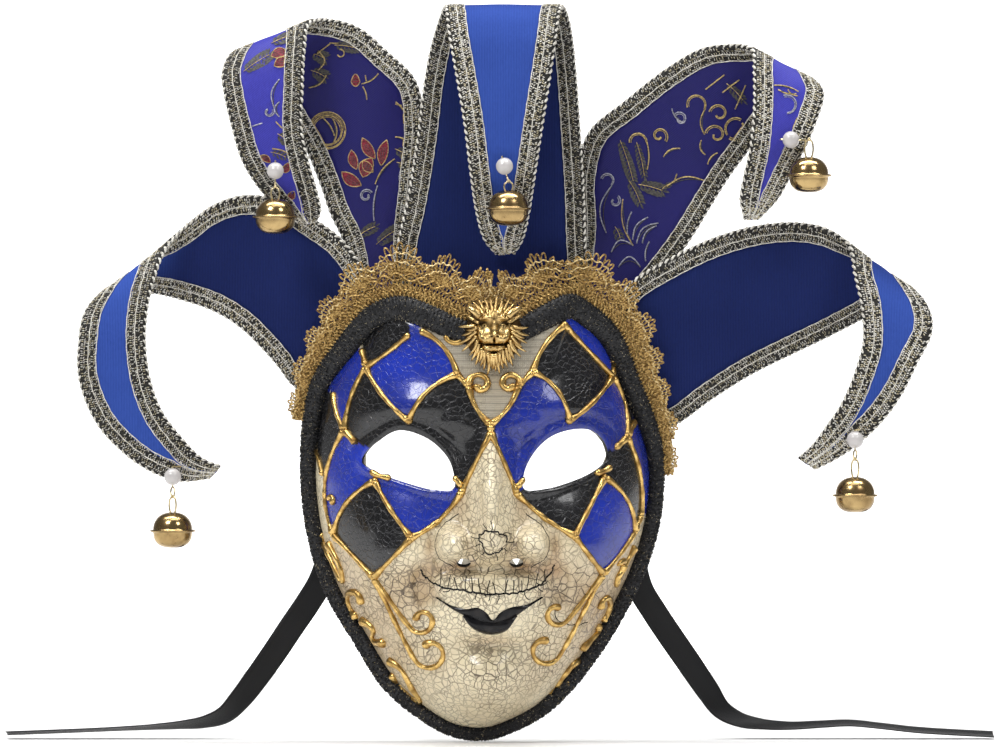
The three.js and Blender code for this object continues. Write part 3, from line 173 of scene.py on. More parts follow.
# Horns in mm, a row per section from the root to the tip: edge a, then edge b.
HORNS = {
    "centre": [
        (-46, -26.3, 70, 50, -21.6, 70), (-42, -22, 104, 47, -22, 104), (-37, -21, 127, 46, -21, 132),
        (-32, -20, 158, 44, -20, 164), (-29, -18, 183, 42.5, -18, 186), (-25.5, -18, 201, 41, -18, 201),
        (-22, -22, 212, 39, -22, 212), (-19.5, -31, 217.5, 36.5, -31, 217.5),
        (-18.5, -41, 214.5, 34.5, -41, 214.5), (-17.2, -47, 204, 33, -47, 204),
        (-14, -50, 186, 30.5, -50, 187), (-10, -52, 162, 27, -52, 165), (-7, -49, 138, 23, -49, 139),
        (-4.2, -40, 120, 20, -40, 120), (-0.5, -33, 108, 17, -33, 108), (5, -30, 101.5, 13, -30, 101.5),
    ],
    "upper_left": [
        (-34, -22.6, 70, -60, -10.5, 72), (-35, -9, 107, -67, -9, 107), (-32, -8, 137, -73.5, -8, 121),
        (-30, -7, 165, -78, -7, 134), (-33.5, -6, 184, -84.5, -6, 150), (-47, -5, 198, -92, -5, 163),
        (-60, -5, 209, -101, -5, 177), (-73, -9, 213, -111, -9, 190), (-83, -18, 211, -119.5, -18, 196.5),
        (-85.4, -26, 197, -124, -26, 187), (-86.2, -30, 178.6, -122.7, -30, 175.5),
        (-86.5, -31, 160, -119, -31, 160), (-83.5, -30, 145.4, -114.4, -30, 145),
        (-79.6, -26, 131.3, -106, -26, 131.6), (-78, -21, 122, -97, -21, 122.2),
        (-80.4, -18, 116.7, -87.4, -18, 116.2),
    ],
    "upper_right": [
        (37, -18.4, 70, 64, -6, 68), (43, -5, 112, 88, -5, 97), (43, -5, 140, 98, -5, 111),
        (49, -5, 160, 106.5, -5, 125), (66, -4, 174.7, 116, -4, 140), (85, -4, 189.6, 126.5, -4, 154),
        (102, -4, 199.3, 138, -4, 170), (115, -8, 201, 149, -8, 182.5), (125, -17, 198.5, 155.5, -17, 183),
        (126, -25, 187, 159, -25, 177), (126, -29, 170.5, 156.5, -29, 167.5),
        (124.5, -31, 153.5, 152, -31, 156), (121.4, -29, 138.3, 145, -27, 142),
        (119.7, -26, 127.7, 137.5, -23, 128), (122, -22, 118, 128, -21, 118),
    ],
    "lower_left": [
        (-50, -23.7, 78, -80, 3.7, 33), (-58.5, -18.5, 95.6, -92, 6.4, 40), (-68.6, -15, 109, -99, 7, 49),
        (-80, -12, 117.5, -107, 6, 58), (-94, -9, 126, -117, 5, 67.5), (-112, -7, 129.7, -129, 4, 75),
        (-126.6, -7, 126.4, -143, 3, 80), (-140.7, -9, 116.7, -158, -2, 83.5),
        (-150.5, -16, 105.5, -178.5, -13, 84.5), (-156, -23, 91, -188.5, -23, 75),
        (-159.3, -27, 76, -191.5, -28, 60), (-160.2, -29, 60, -191, -30, 42),
        (-157.8, -30, 42, -183.5, -30, 23), (-152, -30, 27, -172, -30, 9.7),
        (-143, -29, 15, -158, -29, -0.3), (-133.6, -27, 5.5, -144, -27, -5),
        (-124.5, -25, 1.5, -130, -25, -3.8),
    ],
    "lower_right": [
        (60, -15.6, 76, 75, 8.4, 16), (67.7, -13, 87.5, 90, 8.6, 21), (86.5, -10, 99.5, 107, 8, 33),
        (108.4, -8, 109.7, 126, 7, 45), (130.3, -7, 115.6, 145, 6, 54.5), (149, -7, 116.6, 165, 5, 64.2),
        (161.7, -9, 113.6, 183, 1, 74), (171, -15, 106, 199.5, -11, 85.5), (173.6, -22, 92, 208.5, -21, 76.5),
        (177, -26, 75.2, 209.7, -27, 65), (177.3, -29, 59.5, 202.6, -30, 50.3),
        (173.6, -30, 46.2, 194.6, -31, 34.5), (167.6, -30, 32, 185, -30, 21.7),
        (160, -29, 20.4, 174.2, -29, 11.8), (153.8, -27, 11.8, 164.8, -27, 5.5),
        (147, -25, 5.5, 154.5, -25, 0.3),
    ],
}
BRAID_WIDTH = 9.0
BRAID_THICK = 3.2
# Section of a braid's band: share of the width, and share of the height, over the top and back below.
BRAID_TOP = [(0.03, 0.55), (0.14, 1.0), (0.5, 1.12), (0.86, 1.0), (0.98, 0.6)]
BRAID_SECTION = BRAID_TOP + [(f, -lift) for f, lift in reversed(BRAID_TOP)]
# Pearl, hinge and bell of each horn in mm: pearl x, y, z, hinge x, z, bell z, turn in degrees.
BELLS = {
    "centre": (8.7, -55.6, 142, 10.6, 134.4, 122.2, 0),
    "upper_left": (-98.8, -36, 140.5, -98.8, 132.3, 118.8, 0),
    "upper_right": (143, -38, 155, 151.4, 154.6, 138.2, 0),
    "lower_left": (-147, -35, -3, -147, -12.9, -28.4, 35),
    "lower_right": (173.2, -35.2, 14.3, 173.2, 4.7, -11.8, 35),
}


def spline(rows, per, closed=False):
    """Centripetal Catmull-Rom through the first three columns; other columns run straight between rows."""
    rows = np.asarray(rows, float)
    n = len(rows)
    out = []
    spans = n if closed else n - 1
    for i in range(spans):
        p1, p2 = rows[i % n], rows[(i + 1) % n]
        p0 = rows[(i - 1) % n] if closed or i > 0 else 2 * p1 - p2
        p3 = rows[(i + 2) % n] if closed or i + 2 < n else 2 * p2 - p1
        knots = [0.0]
        for a, b in ((p0, p1), (p1, p2), (p2, p3)):
            knots.append(knots[-1] + max(np.linalg.norm(b[:3] - a[:3]), 1e-6) ** 0.5)
        t0, t1, t2, t3 = knots
        f = np.arange(per)[:, None] / per
        t = t1 + (t2 - t1) * f
        a1 = (t1 - t) / (t1 - t0) * p0 + (t - t0) / (t1 - t0) * p1
        a2 = (t2 - t) / (t2 - t1) * p1 + (t - t1) / (t2 - t1) * p2
        a3 = (t3 - t) / (t3 - t2) * p2 + (t - t2) / (t3 - t2) * p3
        b1 = (t2 - t) / (t2 - t0) * a1 + (t - t0) / (t2 - t0) * a2
        b2 = (t3 - t) / (t3 - t1) * a2 + (t - t1) / (t3 - t1) * a3
        c = (t2 - t) / (t2 - t1) * b1 + (t - t1) / (t2 - t1) * b2
        c[:, 3:] = p1[3:] + (p2[3:] - p1[3:]) * f
        out.append(c)
    if not closed:
        out.append(rows[-1:])
    return np.vstack(out)


def unit(v):
    return v / np.maximum(np.linalg.norm(v, axis=-1, keepdims=True), 1e-12)


def run_length(points):
    return np.concatenate(([0], np.cumsum(np.linalg.norm(np.diff(points, axis=0), axis=1))))


def table_at(s, own, table):
    """Each column of a table at places s, where its rows stand at the places own."""
    return np.stack([np.interp(s, own, column) for column in table.T], axis=-1)


def circle(count):
    """Angles of places evenly round a circle."""
    return np.arange(count) / count * 2 * math.pi


def turned(degrees):
    """Matrix that turns rows of flat places."""
    c, s = math.cos(math.radians(degrees)), math.sin(math.radians(degrees))
    return np.array(((c, s), (-s, c)))


def piece(name, verts, faces, material, slot, body="mask", node=None):
    """Mesh piece from points in mm, riding on a body, in the place of a CAD node where one is named."""
    mesh = bpy.data.meshes.new(name)
    mesh.from_pydata((np.asarray(verts) * MM).tolist(), [], [list(map(int, f)) for f in faces])
    mesh.validate()
    mesh.update()
    mesh.polygons.foreach_set("use_smooth", [True] * len(mesh.polygons))
    obj = bpy.data.objects.new(name, mesh)
    bpy.context.scene.collection.objects.link(obj)
    mesh.materials.append(material)
    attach(obj, body)
    if node:
        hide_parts(node)
    return obj


def put_attribute(obj, name, values):
    """Point attribute of a piece: a colour where the values come in threes, or else a number."""
    if np.ndim(values) == 2:
        layer = obj.data.attributes.new(name, "FLOAT_COLOR", "POINT")
        layer.data.foreach_set("color", np.c_[values, np.ones(len(values))].astype(np.float32).ravel())
    else:
        layer = obj.data.attributes.new(name, "FLOAT", "POINT")
        layer.data.foreach_set("value", np.asarray(values, np.float32))


def grid_faces(rows, cols, wrap_rows=False, wrap_cols=False, start=0):
    i = np.arange(rows if wrap_rows else rows - 1)
    j = np.arange(cols if wrap_cols else cols - 1)
    a, b = np.meshgrid(i, j, indexing="ij")
    an = (a + 1) % rows
    bn = (b + 1) % cols
    quads = np.stack([a * cols + b, an * cols + b, an * cols + bn, a * cols + bn], axis=-1)
    return (quads.reshape(-1, 4) + start).tolist()


def tube_faces(rows, cols, start=0):
    """Faces of a tube of rings, closed at both ends."""
    last = start + (rows - 1) * cols
    ends = [[start + k for k in range(cols)], [last + k for k in reversed(range(cols))]]
    return grid_faces(rows, cols, wrap_cols=True, start=start) + ends


def strip_faces(rows, cols):
    """Faces of a flat strip whose sections are loops of a front row and a back row of points."""
    faces = grid_faces(rows, 2 * cols, wrap_cols=True)
    last = (rows - 1) * 2 * cols
    for k in range(cols - 1):
        far = 2 * cols - 1 - k
        faces.append([k, k + 1, far - 1, far])
        faces.append([last + k + 1, last + k, last + far, last + far - 1])
    return faces


def join(made):
    """One set of points and faces from several."""
    verts = []
    faces = []
    start = 0
    for v, f in made:
        verts.append(v)
        faces += [[k + start for k in one] for one in f]
        start += len(v)
    return np.vstack(verts), faces


def tubes(paths, radius, sides=5):
    """Round yarns along paths, each an array of points with an optional array of side directions."""
    verts = []
    faces = []
    start = 0
    turn = circle(sides)
    for path in paths:
        points, guide = path if isinstance(path, tuple) else (path, None)
        points = np.asarray(points, float)
        n = len(points)
        if n < 2:
            continue
        along = unit(np.gradient(points, axis=0))
        if guide is None:
            guide = np.tile((0.0, -1.0, 0.001), (n, 1))
            flat = np.abs((along * guide).sum(axis=1)) > 0.95
            guide[flat] = (1.0, 0.0, 0.0)
        side = unit(np.cross(along, guide))
        up = np.cross(side, along)
        r = np.broadcast_to(np.asarray(radius, float), (n,))
        ring = points[:, None] + r[:, None, None] * (
            np.cos(turn)[None, :, None] * side[:, None] + np.sin(turn)[None, :, None] * up[:, None])
        verts.append(ring.reshape(-1, 3))
        faces += tube_faces(n, sides, start)
        start += n * sides
    return np.vstack(verts), faces


def stitches(points, axes):
    """Small three-sided spindles of yarn, each a point with its long, cross and upward half axes."""
    long, cross, up = axes
    around = [cross * math.cos(turn) + up * math.sin(turn) for turn in np.radians((90, 210, 330))]
    verts = np.stack([points + long, points - long] + [points + ring for ring in around], axis=1)
    one = np.array(((0, 2, 3), (0, 3, 4), (0, 4, 2), (1, 3, 2), (1, 4, 3), (1, 2, 4)))
    faces = one[None] + 5 * np.arange(len(points))[:, None, None]
    return verts.reshape(-1, 3), faces.reshape(-1, 3).tolist()


# Front skin of the face as a function of the place in the front view.
RIM_STEPS = 16
rim = spline(RIM[:, [0, 2, 1, 3, 4]], RIM_STEPS, closed=True)
rim_along = unit(np.roll(rim[:, :3], -1, axis=0) - np.roll(rim[:, :3], 1, axis=0))
rim_in = unit(np.stack([rim_along[:, 2], 0 * rim_along[:, 0], -rim_along[:, 0]], axis=1))
shell_edge = rim[:, :3] + rim_in * rim[:, 3:4]
edge_angle = np.arctan2(shell_edge[:, 2] - SHELL_CENTRE[1], shell_edge[:, 0] - SHELL_CENTRE[0])
edge_order = np.argsort(edge_angle)
edge_reach = np.hypot(shell_edge[:, 0] - SHELL_CENTRE[0], shell_edge[:, 2] - SHELL_CENTRE[1])


def evened(values):
    """Values round the circle, smoothed over about ten degrees."""
    share = np.exp(-(np.arange(-70, 71) / 20.0) ** 2)
    return np.convolve(np.concatenate([values[-70:], values, values[:70]]), share / share.sum(), "valid")


ROUND = np.linspace(-math.pi, math.pi, 720, endpoint=False)
true_reach = np.interp(ROUND, edge_angle[edge_order], edge_reach[edge_order], period=2 * math.pi)
true_depth = np.interp(ROUND, edge_angle[edge_order], shell_edge[edge_order, 1], period=2 * math.pi)
even_reach = evened(true_reach)
even_depth = evened(true_depth)


def forms_rise(x, z):
    rise = 0
    for fx, fz, wide, tall, high in FACE_FORMS:
        rise = rise + high * np.exp(-((x - fx) / wide) ** 2 - ((z - fz) / tall) ** 2)
    for fx, fz, wide, tall, high in CRISP_FORMS:
        rise = rise + high * np.exp(-(((x - fx) / wide) ** 2 + ((z - fz) / tall) ** 2) ** 2)
    return rise + lid_rise(x, z)


def lid_rise(x, z):
    """Raised lids round the eye holes, with a crease over the upper ones."""
    flat = np.stack([np.ravel(x), np.ravel(z)], axis=1)
    rise = np.zeros(len(flat))
    for hole in HOLES[:2]:
        near = np.nonzero(np.abs(flat - hole.mean(axis=0)).max(axis=1) < 36)[0]
        away = np.sqrt(((flat[near, None] - hole[None]) ** 2).sum(axis=2)).min(axis=1)
        above = np.clip((flat[near, 1] - hole[:, 1].mean()) / 6, 0, 1)
        rise[near] += 1.5 * np.exp(-((away - 1.2) / 1.9) ** 2)
        rise[near] -= above * 1.3 * np.exp(-((away - 6.2) / 1.7) ** 2)
    return rise.reshape(np.shape(x))


def skin_depth(x, z, edge_y, ring):
    dome = np.maximum(1 - ring ** 2.4, 0) ** 0.6
    return edge_y + (SHELL_FRONT - edge_y) * dome - forms_rise(x, z) * (1 - ring ** 6)


def skin(x, z):
    x = np.asarray(x, float)
    z = np.asarray(z, float)
    angle = np.arctan2(z - SHELL_CENTRE[1], x - SHELL_CENTRE[0])
    away = np.hypot(x - SHELL_CENTRE[0], z - SHELL_CENTRE[1])
    reach = np.interp(angle, ROUND, true_reach, period=2 * math.pi)
    near = np.minimum(away / reach, 1.0) ** 6
    reach = reach * near + np.interp(angle, ROUND, even_reach, period=2 * math.pi) * (1 - near)
    edge_y = (np.interp(angle, ROUND, true_depth, period=2 * math.pi) * near
              + np.interp(angle, ROUND, even_depth, period=2 * math.pi) * (1 - near))
    return skin_depth(x, z, edge_y, np.minimum(away / reach, 1.0))


def skin_normal(x, z):
    d = 0.4
    slope_x = (skin(x + d, z) - skin(x - d, z)) / (2 * d)
    slope_z = (skin(x, z + d) - skin(x, z - d)) / (2 * d)
    return unit(np.stack([slope_x, -np.ones_like(slope_x), slope_z], axis=-1))


def on_skin(route, lift, step=0.7):
    """Points on the skin along a route in the front view, lifted off it, with the skin's directions."""
    route = np.asarray(route, float)
    flat = np.stack([route[:, 0], 0 * route[:, 0], route[:, 1]], axis=1)
    own = run_length(flat)
    flat = table_at(np.linspace(0, own[-1], max(int(own[-1] / step), 3)), own, flat)
    out = skin_normal(flat[:, 0], flat[:, 2])
    points = np.stack([flat[:, 0], skin(flat[:, 0], flat[:, 2]), flat[:, 2]], axis=1)
    return points + out * lift, out


def bow_route(start, end, bow):
    a = np.array(NODES[start] if isinstance(start, str) else start, float)
    b = np.array(NODES[end] if isinstance(end, str) else end, float)
    d = (b - a) / np.linalg.norm(b - a)
    middle = (a + b) / 2 + np.array((-d[1], d[0])) * bow * 2
    t = np.linspace(0, 1, 13)[:, None]
    return (1 - t) ** 2 * a + 2 * t * (1 - t) * middle + t ** 2 * b


def curl_route(points, per=8, closed=False):
    """Smooth route through given places in the front view."""
    rows = np.array([(x, 0, z) for x, z in points], float)
    return spline(rows, per, closed)[:, [0, 2]]


class Shader:
    """A principled material with short ways to add and link its nodes."""

    def __init__(self, name, **sockets):
        self.material = bpy.data.materials.new(name)
        self.material.use_nodes = True
        self.tree = self.material.node_tree
        self.tree.nodes.clear()
        out = self.tree.nodes.new("ShaderNodeOutputMaterial")
        self.bsdf = self.tree.nodes.new("ShaderNodeBsdfPrincipled")
        self.tree.links.new(self.bsdf.outputs[0], out.inputs[0])
        for key, value in sockets.items():
            self.bsdf.inputs[key.replace("_", " ")].default_value = value
        self.coords = self.node("TexCoord").outputs["Object"]

    def node(self, kind, inputs=None, **props):
        made = self.tree.nodes.new("ShaderNode" + kind)
        for key, value in props.items():
            setattr(made, key, value)
        for key, value in (inputs or {}).items():
            self.put(made.inputs[key], value)
        return made

    def put(self, socket, value):
        if isinstance(value, bpy.types.NodeSocket):
            self.tree.links.new(value, socket)
        else:
            socket.default_value = value

    def math(self, kind, a, b):
        return self.node("Math", {0: a, 1: b}, operation=kind).outputs[0]

    def mix(self, factor, a, b):
        made = self.node("Mix", data_type="RGBA", clamp_factor=True)
        self.put(made.inputs[0], factor)
        self.put(made.inputs[6], a)
        self.put(made.inputs[7], b)
        return made.outputs[2]

    def ramp(self, value, low, high, to_low=0.0, to_high=1.0):
        sockets = {"Value": value, "From Min": low, "From Max": high, "To Min": to_low, "To Max": to_high}
        return self.node("MapRange", sockets).outputs[0]

    def noise(self, scale, detail=3.0, vector=None):
        sockets = {"Vector": vector or self.coords, "Scale": scale, "Detail": detail}
        return self.node("TexNoise", sockets).outputs[0]

    def wave(self, way, **sockets):
        sockets = {key.replace("_", " "): value for key, value in sockets.items()}
        return self.node("TexWave", {"Vector": self.coords} | sockets, bands_direction=way).outputs[1]

    def stretch(self, x, y, z, turn=(0.0, 0.0, 0.0)):
        sockets = {"Vector": self.coords, "Scale": (x, y, z), "Rotation": turn}
        return self.node("Mapping", sockets).outputs[0]

    def attribute(self, name, output="Fac"):
        return self.node("Attribute", attribute_name=name).outputs[output]

    def bump(self, height, distance, strength=1.0):
        sockets = {"Height": height, "Distance": distance, "Strength": strength}
        self.put(self.bsdf.inputs["Normal"], self.node("Bump", sockets).outputs[0])

    def colour(self, value):
        self.put(self.bsdf.inputs["Base Color"], value)

    def rough(self, value):
        self.put(self.bsdf.inputs["Roughness"], value)


def rgb(r, g, b):
    return (r, g, b, 1.0)


def face_material():
    """Crackled lacquer over paint, with printed canvas and stains, and brown airbrush with painted shade in
    the hollows, where the face is marked.
    """
    s = Shader("face_lacquer", Coat_Weight=0.42, Coat_Roughness=0.09, Specular_IOR_Level=0.4)
    warp = s.node("VectorMath", {0: s.node("TexNoise", {"Vector": s.coords, "Scale": 140.0}).outputs[1],
                                 1: (0.0034, 0.0034, 0.0034)}, operation="MULTIPLY").outputs[0]
    place = s.node("VectorMath", {0: s.coords, 1: warp}, operation="ADD").outputs[0]
    cells = [s.node("TexVoronoi", {"Vector": place, "Scale": scale}, feature="DISTANCE_TO_EDGE")
             for scale in (330.0, 170.0)]
    fine, wide = (made.outputs[0] for made in cells)
    patchy = s.ramp(s.noise(55.0), 0.35, 0.65, 0.4, 1.0)
    fine_line = s.math("MULTIPLY", s.ramp(fine, 0.025, 0.085, 1.0, 0.0), patchy)
    wide_line = s.math("MULTIPLY", s.ramp(wide, 0.016, 0.05, 1.0, 0.0), s.attribute("cracked"))
    line = s.math("MAXIMUM", s.math("MULTIPLY", fine_line, 0.85), wide_line)
    lacquer = s.attribute("lacquer")
    bare = s.math("SUBTRACT", 1.0, lacquer)
    stain = s.math("MULTIPLY", s.ramp(s.noise(38.0, 6.0), 0.45, 0.75, 0.0, 0.5), bare)
    paint = s.mix(stain, s.attribute("paint", "Color"), rgb(0.42, 0.30, 0.14))
    cloudy = s.math("MULTIPLY", s.ramp(s.noise(24.0, 4.0), 0.35, 0.62, 0.0, 0.62), lacquer)
    deeper = s.node("VectorMath", {0: paint, "Scale": 0.3}, operation="SCALE").outputs[0]
    paint = s.mix(cloudy, paint, deeper)
    # Brown airbrush with painted shade in the hollows, mixed in by the attribute that carries both.
    paint = s.mix(s.math("MULTIPLY", s.attribute("airbrush_and_shade"), 0.9), paint, rgb(0.31, 0.155, 0.045))
    weave = s.math("MULTIPLY", s.wave("X", Scale=330.0), s.wave("Z", Scale=330.0))
    print_line = s.wave("Z", Scale=95.0, Distortion=0.6)
    ink = s.math("MAXIMUM", s.ramp(print_line, 0.8, 0.97), s.ramp(s.noise(420.0), 0.62, 0.68))
    printed = s.math("MAXIMUM", s.math("MULTIPLY", ink, 0.55), s.ramp(weave, 0.2, 0.9, 0.35, 0.0))
    canvas = s.attribute("canvas")
    paint = s.mix(s.math("MULTIPLY", canvas, printed), paint, rgb(0.05, 0.045, 0.04))
    line_tint = s.mix(lacquer, rgb(0.075, 0.048, 0.024), rgb(0.05, 0.05, 0.06))
    depth = s.math("MULTIPLY", line, s.ramp(lacquer, 0.0, 1.0, 0.95, 0.30))
    depth = s.math("MULTIPLY", depth, s.math("SUBTRACT", 1.0, canvas))
    s.colour(s.mix(depth, paint, line_tint))
    s.rough(s.math("ADD", s.ramp(lacquer, 0.0, 1.0, 0.42, 0.2), s.math("MULTIPLY", s.noise(90.0), 0.1)))
    relief = s.math("ADD", s.math("MULTIPLY", line, -1.0), s.math("MULTIPLY", s.noise(160.0, 4.0), 0.5))
    s.bump(relief, 0.00035, 0.7)
    return s.material


def metal_material(name, bright, dark, rough, grain, amount, **sockets):
    s = Shader(name, Metallic=1.0, **sockets)
    worn = s.ramp(s.noise(grain, 6.0), 0.38, 0.68)
    tint = s.mix(s.math("MULTIPLY", worn, amount), rgb(*bright), rgb(*dark))
    s.colour(s.mix(s.attribute("hollow"), tint, rgb(0.03, 0.018, 0.008)))
    s.rough(s.ramp(worn, 0.0, 1.0, rough, rough + 0.18))
    s.bump(s.noise(grain * 3.0, 4.0), 0.00015, 0.5)
    return s.material


def yarn_material(name, light, dark, metallic, rough, sheen=0.06):
    s = Shader(name, Metallic=metallic, Sheen_Weight=sheen, Sheen_Roughness=0.4, Specular_IOR_Level=0.35)
    twist = s.noise(900.0, 3.0, s.stretch(1.0, 1.0, 1.6, (0.5, 0.3, 0.7)))
    s.colour(s.mix(s.ramp(twist, 0.4, 0.6), rgb(*light), rgb(*dark)))
    s.rough(s.ramp(twist, 0.3, 0.7, rough, rough + 0.15))
    s.bump(twist, 0.0002, 0.8)
    return s.material


def cloth_material(name, light, dark, shade, rib, rough, gloss, sheen, sheen_tint, turn):
    """Ribbed cloth with painted light: its lit colours where the attribute is high, and the shade colour, a
    painted shade, where it is low.
    """
    s = Shader(name, Sheen_Weight=sheen, Sheen_Roughness=0.35, Sheen_Tint=rgb(*sheen_tint),
               Specular_IOR_Level=gloss)
    place = s.stretch(1.0, 1.0, 1.0, turn)
    ribs = s.wave("X", Vector=place, Scale=rib, Distortion=0.4, Detail=2.0, Detail_Scale=3.0)
    threads = s.noise(1500.0, 2.0, s.stretch(1.0, 1.0, 0.25, turn))
    soft = s.noise(22.0, 3.0)
    woven = s.math("MULTIPLY", s.math("ADD", ribs, threads), 0.35)
    tone = s.math("ADD", woven, s.math("MULTIPLY", soft, 0.4))
    lit = s.mix(s.ramp(tone, 0.25, 0.8), rgb(*dark), rgb(*light))
    # Painted shade: a darker copy of the cloth's colours for the standing parts.
    deep = s.mix(s.ramp(tone, 0.25, 0.8), rgb(*[0.6 * v for v in shade]), rgb(*shade))
    s.colour(s.mix(s.attribute("painted_light"), deep, lit))
    s.rough(s.ramp(threads, 0.2, 0.8, rough, rough + 0.12))
    s.bump(s.math("ADD", ribs, threads), 0.00018, 0.6)
    return s.material


FACE = face_material()
GILT = metal_material("gilt_paste", (0.74, 0.50, 0.17), (0.24, 0.12, 0.03), 0.24, 240.0, 0.85)
BRASS = metal_material("old_brass", (0.46, 0.325, 0.145), (0.17, 0.105, 0.045), 0.15, 120.0, 0.8)
MEDALLION = metal_material("cast_brass", (0.66, 0.47, 0.20), (0.28, 0.17, 0.06), 0.24, 210.0, 0.7)
RECESS = metal_material("brass_recess", (0.10, 0.06, 0.025), (0.03, 0.018, 0.008), 0.4, 210.0, 0.8)
WIRE = metal_material("plated_wire", (0.78, 0.66, 0.40), (0.45, 0.34, 0.16), 0.22, 400.0, 0.5)
GLINT = yarn_material("knit_glint", (0.56, 0.48, 0.32), (0.18, 0.15, 0.10), 0.2, 0.3)
KNIT = yarn_material("black_knit", (0.016, 0.016, 0.018), (0.003, 0.003, 0.004), 0.0, 0.42, 0.02)
LACE_GOLD = yarn_material("lace_gold", (0.58, 0.39, 0.14), (0.16, 0.085, 0.022), 0.7, 0.36)
LACE_PALE = yarn_material("lace_pale", (0.80, 0.64, 0.34), (0.36, 0.23, 0.08), 0.7, 0.34)
YARN_BLACK = yarn_material("braid_black", (0.020, 0.018, 0.014), (0.004, 0.004, 0.004), 0.0, 0.6, 0.02)
YARN_WHITE = yarn_material("braid_white", (0.80, 0.78, 0.72), (0.46, 0.43, 0.37), 0.1, 0.5)
YARN_GOLD = yarn_material("braid_gold", (0.66, 0.60, 0.44), (0.32, 0.27, 0.16), 0.25, 0.42)
BLUE_CLOTH = cloth_material("blue_cloth", (0.040, 0.088, 0.38), (0.024, 0.052, 0.25), (0.014, 0.024, 0.115),
                            420.0, 0.75, 0.06, 0.02, (0.3, 0.45, 1.0), (0.0, 0.0, 0.0))
BROCADE = cloth_material("brocade_satin", (0.050, 0.050, 0.44), (0.024, 0.022, 0.22), (0.012, 0.010, 0.125),
                         520.0, 0.38, 0.22, 0.03, (0.5, 0.45, 1.0), (0.0, 0.6, 0.0))
THREAD_GOLD = yarn_material("brocade_gold", (0.66, 0.50, 0.20), (0.30, 0.22, 0.10), 0.55, 0.4)
THREAD_SILVER = yarn_material("brocade_silver", (0.46, 0.46, 0.52), (0.20, 0.20, 0.26), 0.4, 0.42)
THREAD_RED = yarn_material("brocade_red", (0.25, 0.022, 0.042), (0.10, 0.008, 0.02), 0.1, 0.45)
THREAD_OLIVE = yarn_material("brocade_olive", (0.085, 0.080, 0.070), (0.035, 0.032, 0.035), 0.2, 0.45)
SATIN = cloth_material("black_satin", (0.010, 0.010, 0.011), (0.004, 0.004, 0.005), (0.008, 0.008, 0.009),
                       900.0, 0.38, 0.25, 0.0, (1.0, 1.0, 1.0), (0.0, 0.9, 0.0))


def pearl_material():
    s = Shader("pearl_gloss", Coat_Weight=0.7, Coat_Roughness=0.08, Sheen_Weight=0.2)
    s.colour(s.mix(s.ramp(s.noise(260.0), 0.3, 0.7), rgb(0.46, 0.44, 0.43), rgb(0.54, 0.51, 0.50)))
    s.rough(s.ramp(s.noise(500.0), 0.3, 0.7, 0.18, 0.28))
    return s.material


def paper_material():
    s = Shader("moulded_paper", Roughness=0.85)
    fibre = s.noise(320.0, 6.0)
    s.colour(s.mix(s.ramp(fibre, 0.3, 0.7), rgb(0.50, 0.45, 0.36), rgb(0.62, 0.57, 0.47)))
    s.bump(fibre, 0.0004, 0.5)
    return s.material


def lip_material():
    s = Shader("lip_lacquer", Coat_Weight=0.25, Coat_Roughness=0.04, Specular_IOR_Level=0.08)
    s.colour(s.mix(s.ramp(s.noise(240.0, 5.0), 0.4, 0.7), rgb(0.006, 0.006, 0.007), rgb(0.02, 0.018, 0.018)))
    s.rough(0.18)
    s.bump(s.noise(400.0), 0.0002, 0.4)
    return s.material


PEARL = pearl_material()
PAPER = paper_material()
LIPS = lip_material()


def ribbon(name, rows):
    """Flat satin ribbon on its route, with a slight curl of its edges, cut off square at its end."""
    line = spline(rows, 8)
    centre = line[:, :3]
    along = unit(np.gradient(centre, axis=0))
    turn = np.radians(line[:, 3])
    upright = unit(np.cross(along, np.tile((0.0, 1.0, 0.0), (len(along), 1))))
    wide = upright * np.cos(turn)[:, None] + np.array((0.0, 1.0, 0.0)) * np.sin(turn)[:, None]
    wide = unit(wide - along * (wide * along).sum(axis=1, keepdims=True))
    out = np.cross(wide, along)
    across = np.linspace(-0.5, 0.5, 9)
    curl = RIBBON_CURL * (1 - (across * 2) ** 2)
    middle = centre[:, None] + wide[:, None] * across[None, :, None] * RIBBON_WIDTH
    verts = []
    for face in (1, -1):
        lift = curl[None, :, None] + face * RIBBON_THICK / 2
        verts.append(middle + out[:, None] * lift)
    loop = np.concatenate([verts[0], verts[1][:, ::-1]], axis=1).reshape(-1, 3) / MM
    made = piece(name + "_satin", loop, strip_faces(len(centre), len(across)), SATIN, "satin", node=name)
    length = float(run_length(centre)[-1])


ribbon("ribbon_left", RIBBON_LEFT)
ribbon("ribbon_right", RIBBON_RIGHT)


def inside(x, z, outline):
    """Even-odd test of many places against one outline in the front view."""
    hit = np.zeros(np.shape(x), bool)
    p = np.asarray(outline, float)
    q = np.roll(p, -1, axis=0)
    for (x0, z0), (x1, z1) in zip(p, q):
        if z0 == z1:
            continue
        cross = ((z0 > z) != (z1 > z)) & (x < (x1 - x0) * (z - z0) / (z1 - z0) + x0)
        hit ^= cross
    return hit


def oval(x, z, wide, tall):
    turn = circle(24)
    return np.stack([x + np.cos(turn) * wide, z + np.sin(turn) * tall], axis=1)


HOLES = [curl_route(eye, 12, closed=True) for eye in (EYE_LEFT, EYE_RIGHT)] + [oval(*n) for n in NOSTRILS]


def cell_outline(corners):
    """Outline of a cell along the bowed gilt lines between its corners."""
    bows = {(a, b): bow for a, b, bow in LINES}
    route = []
    for a, b in zip(corners, corners[1:] + corners[:1]):
        if (a, b) in bows:
            part = bow_route(a, b, bows[(a, b)])
        elif (b, a) in bows:
            part = bow_route(b, a, bows[(b, a)])[::-1]
        else:
            part = bow_route(a, b, 0)
        route.append(part[:-1])
    return np.vstack(route)


PAINTS = {"blue": (0.010, 0.032, 0.40), "black": (0.007, 0.007, 0.008), "canvas": (0.50, 0.45, 0.35)}
CREAM = (0.76, 0.67, 0.47)


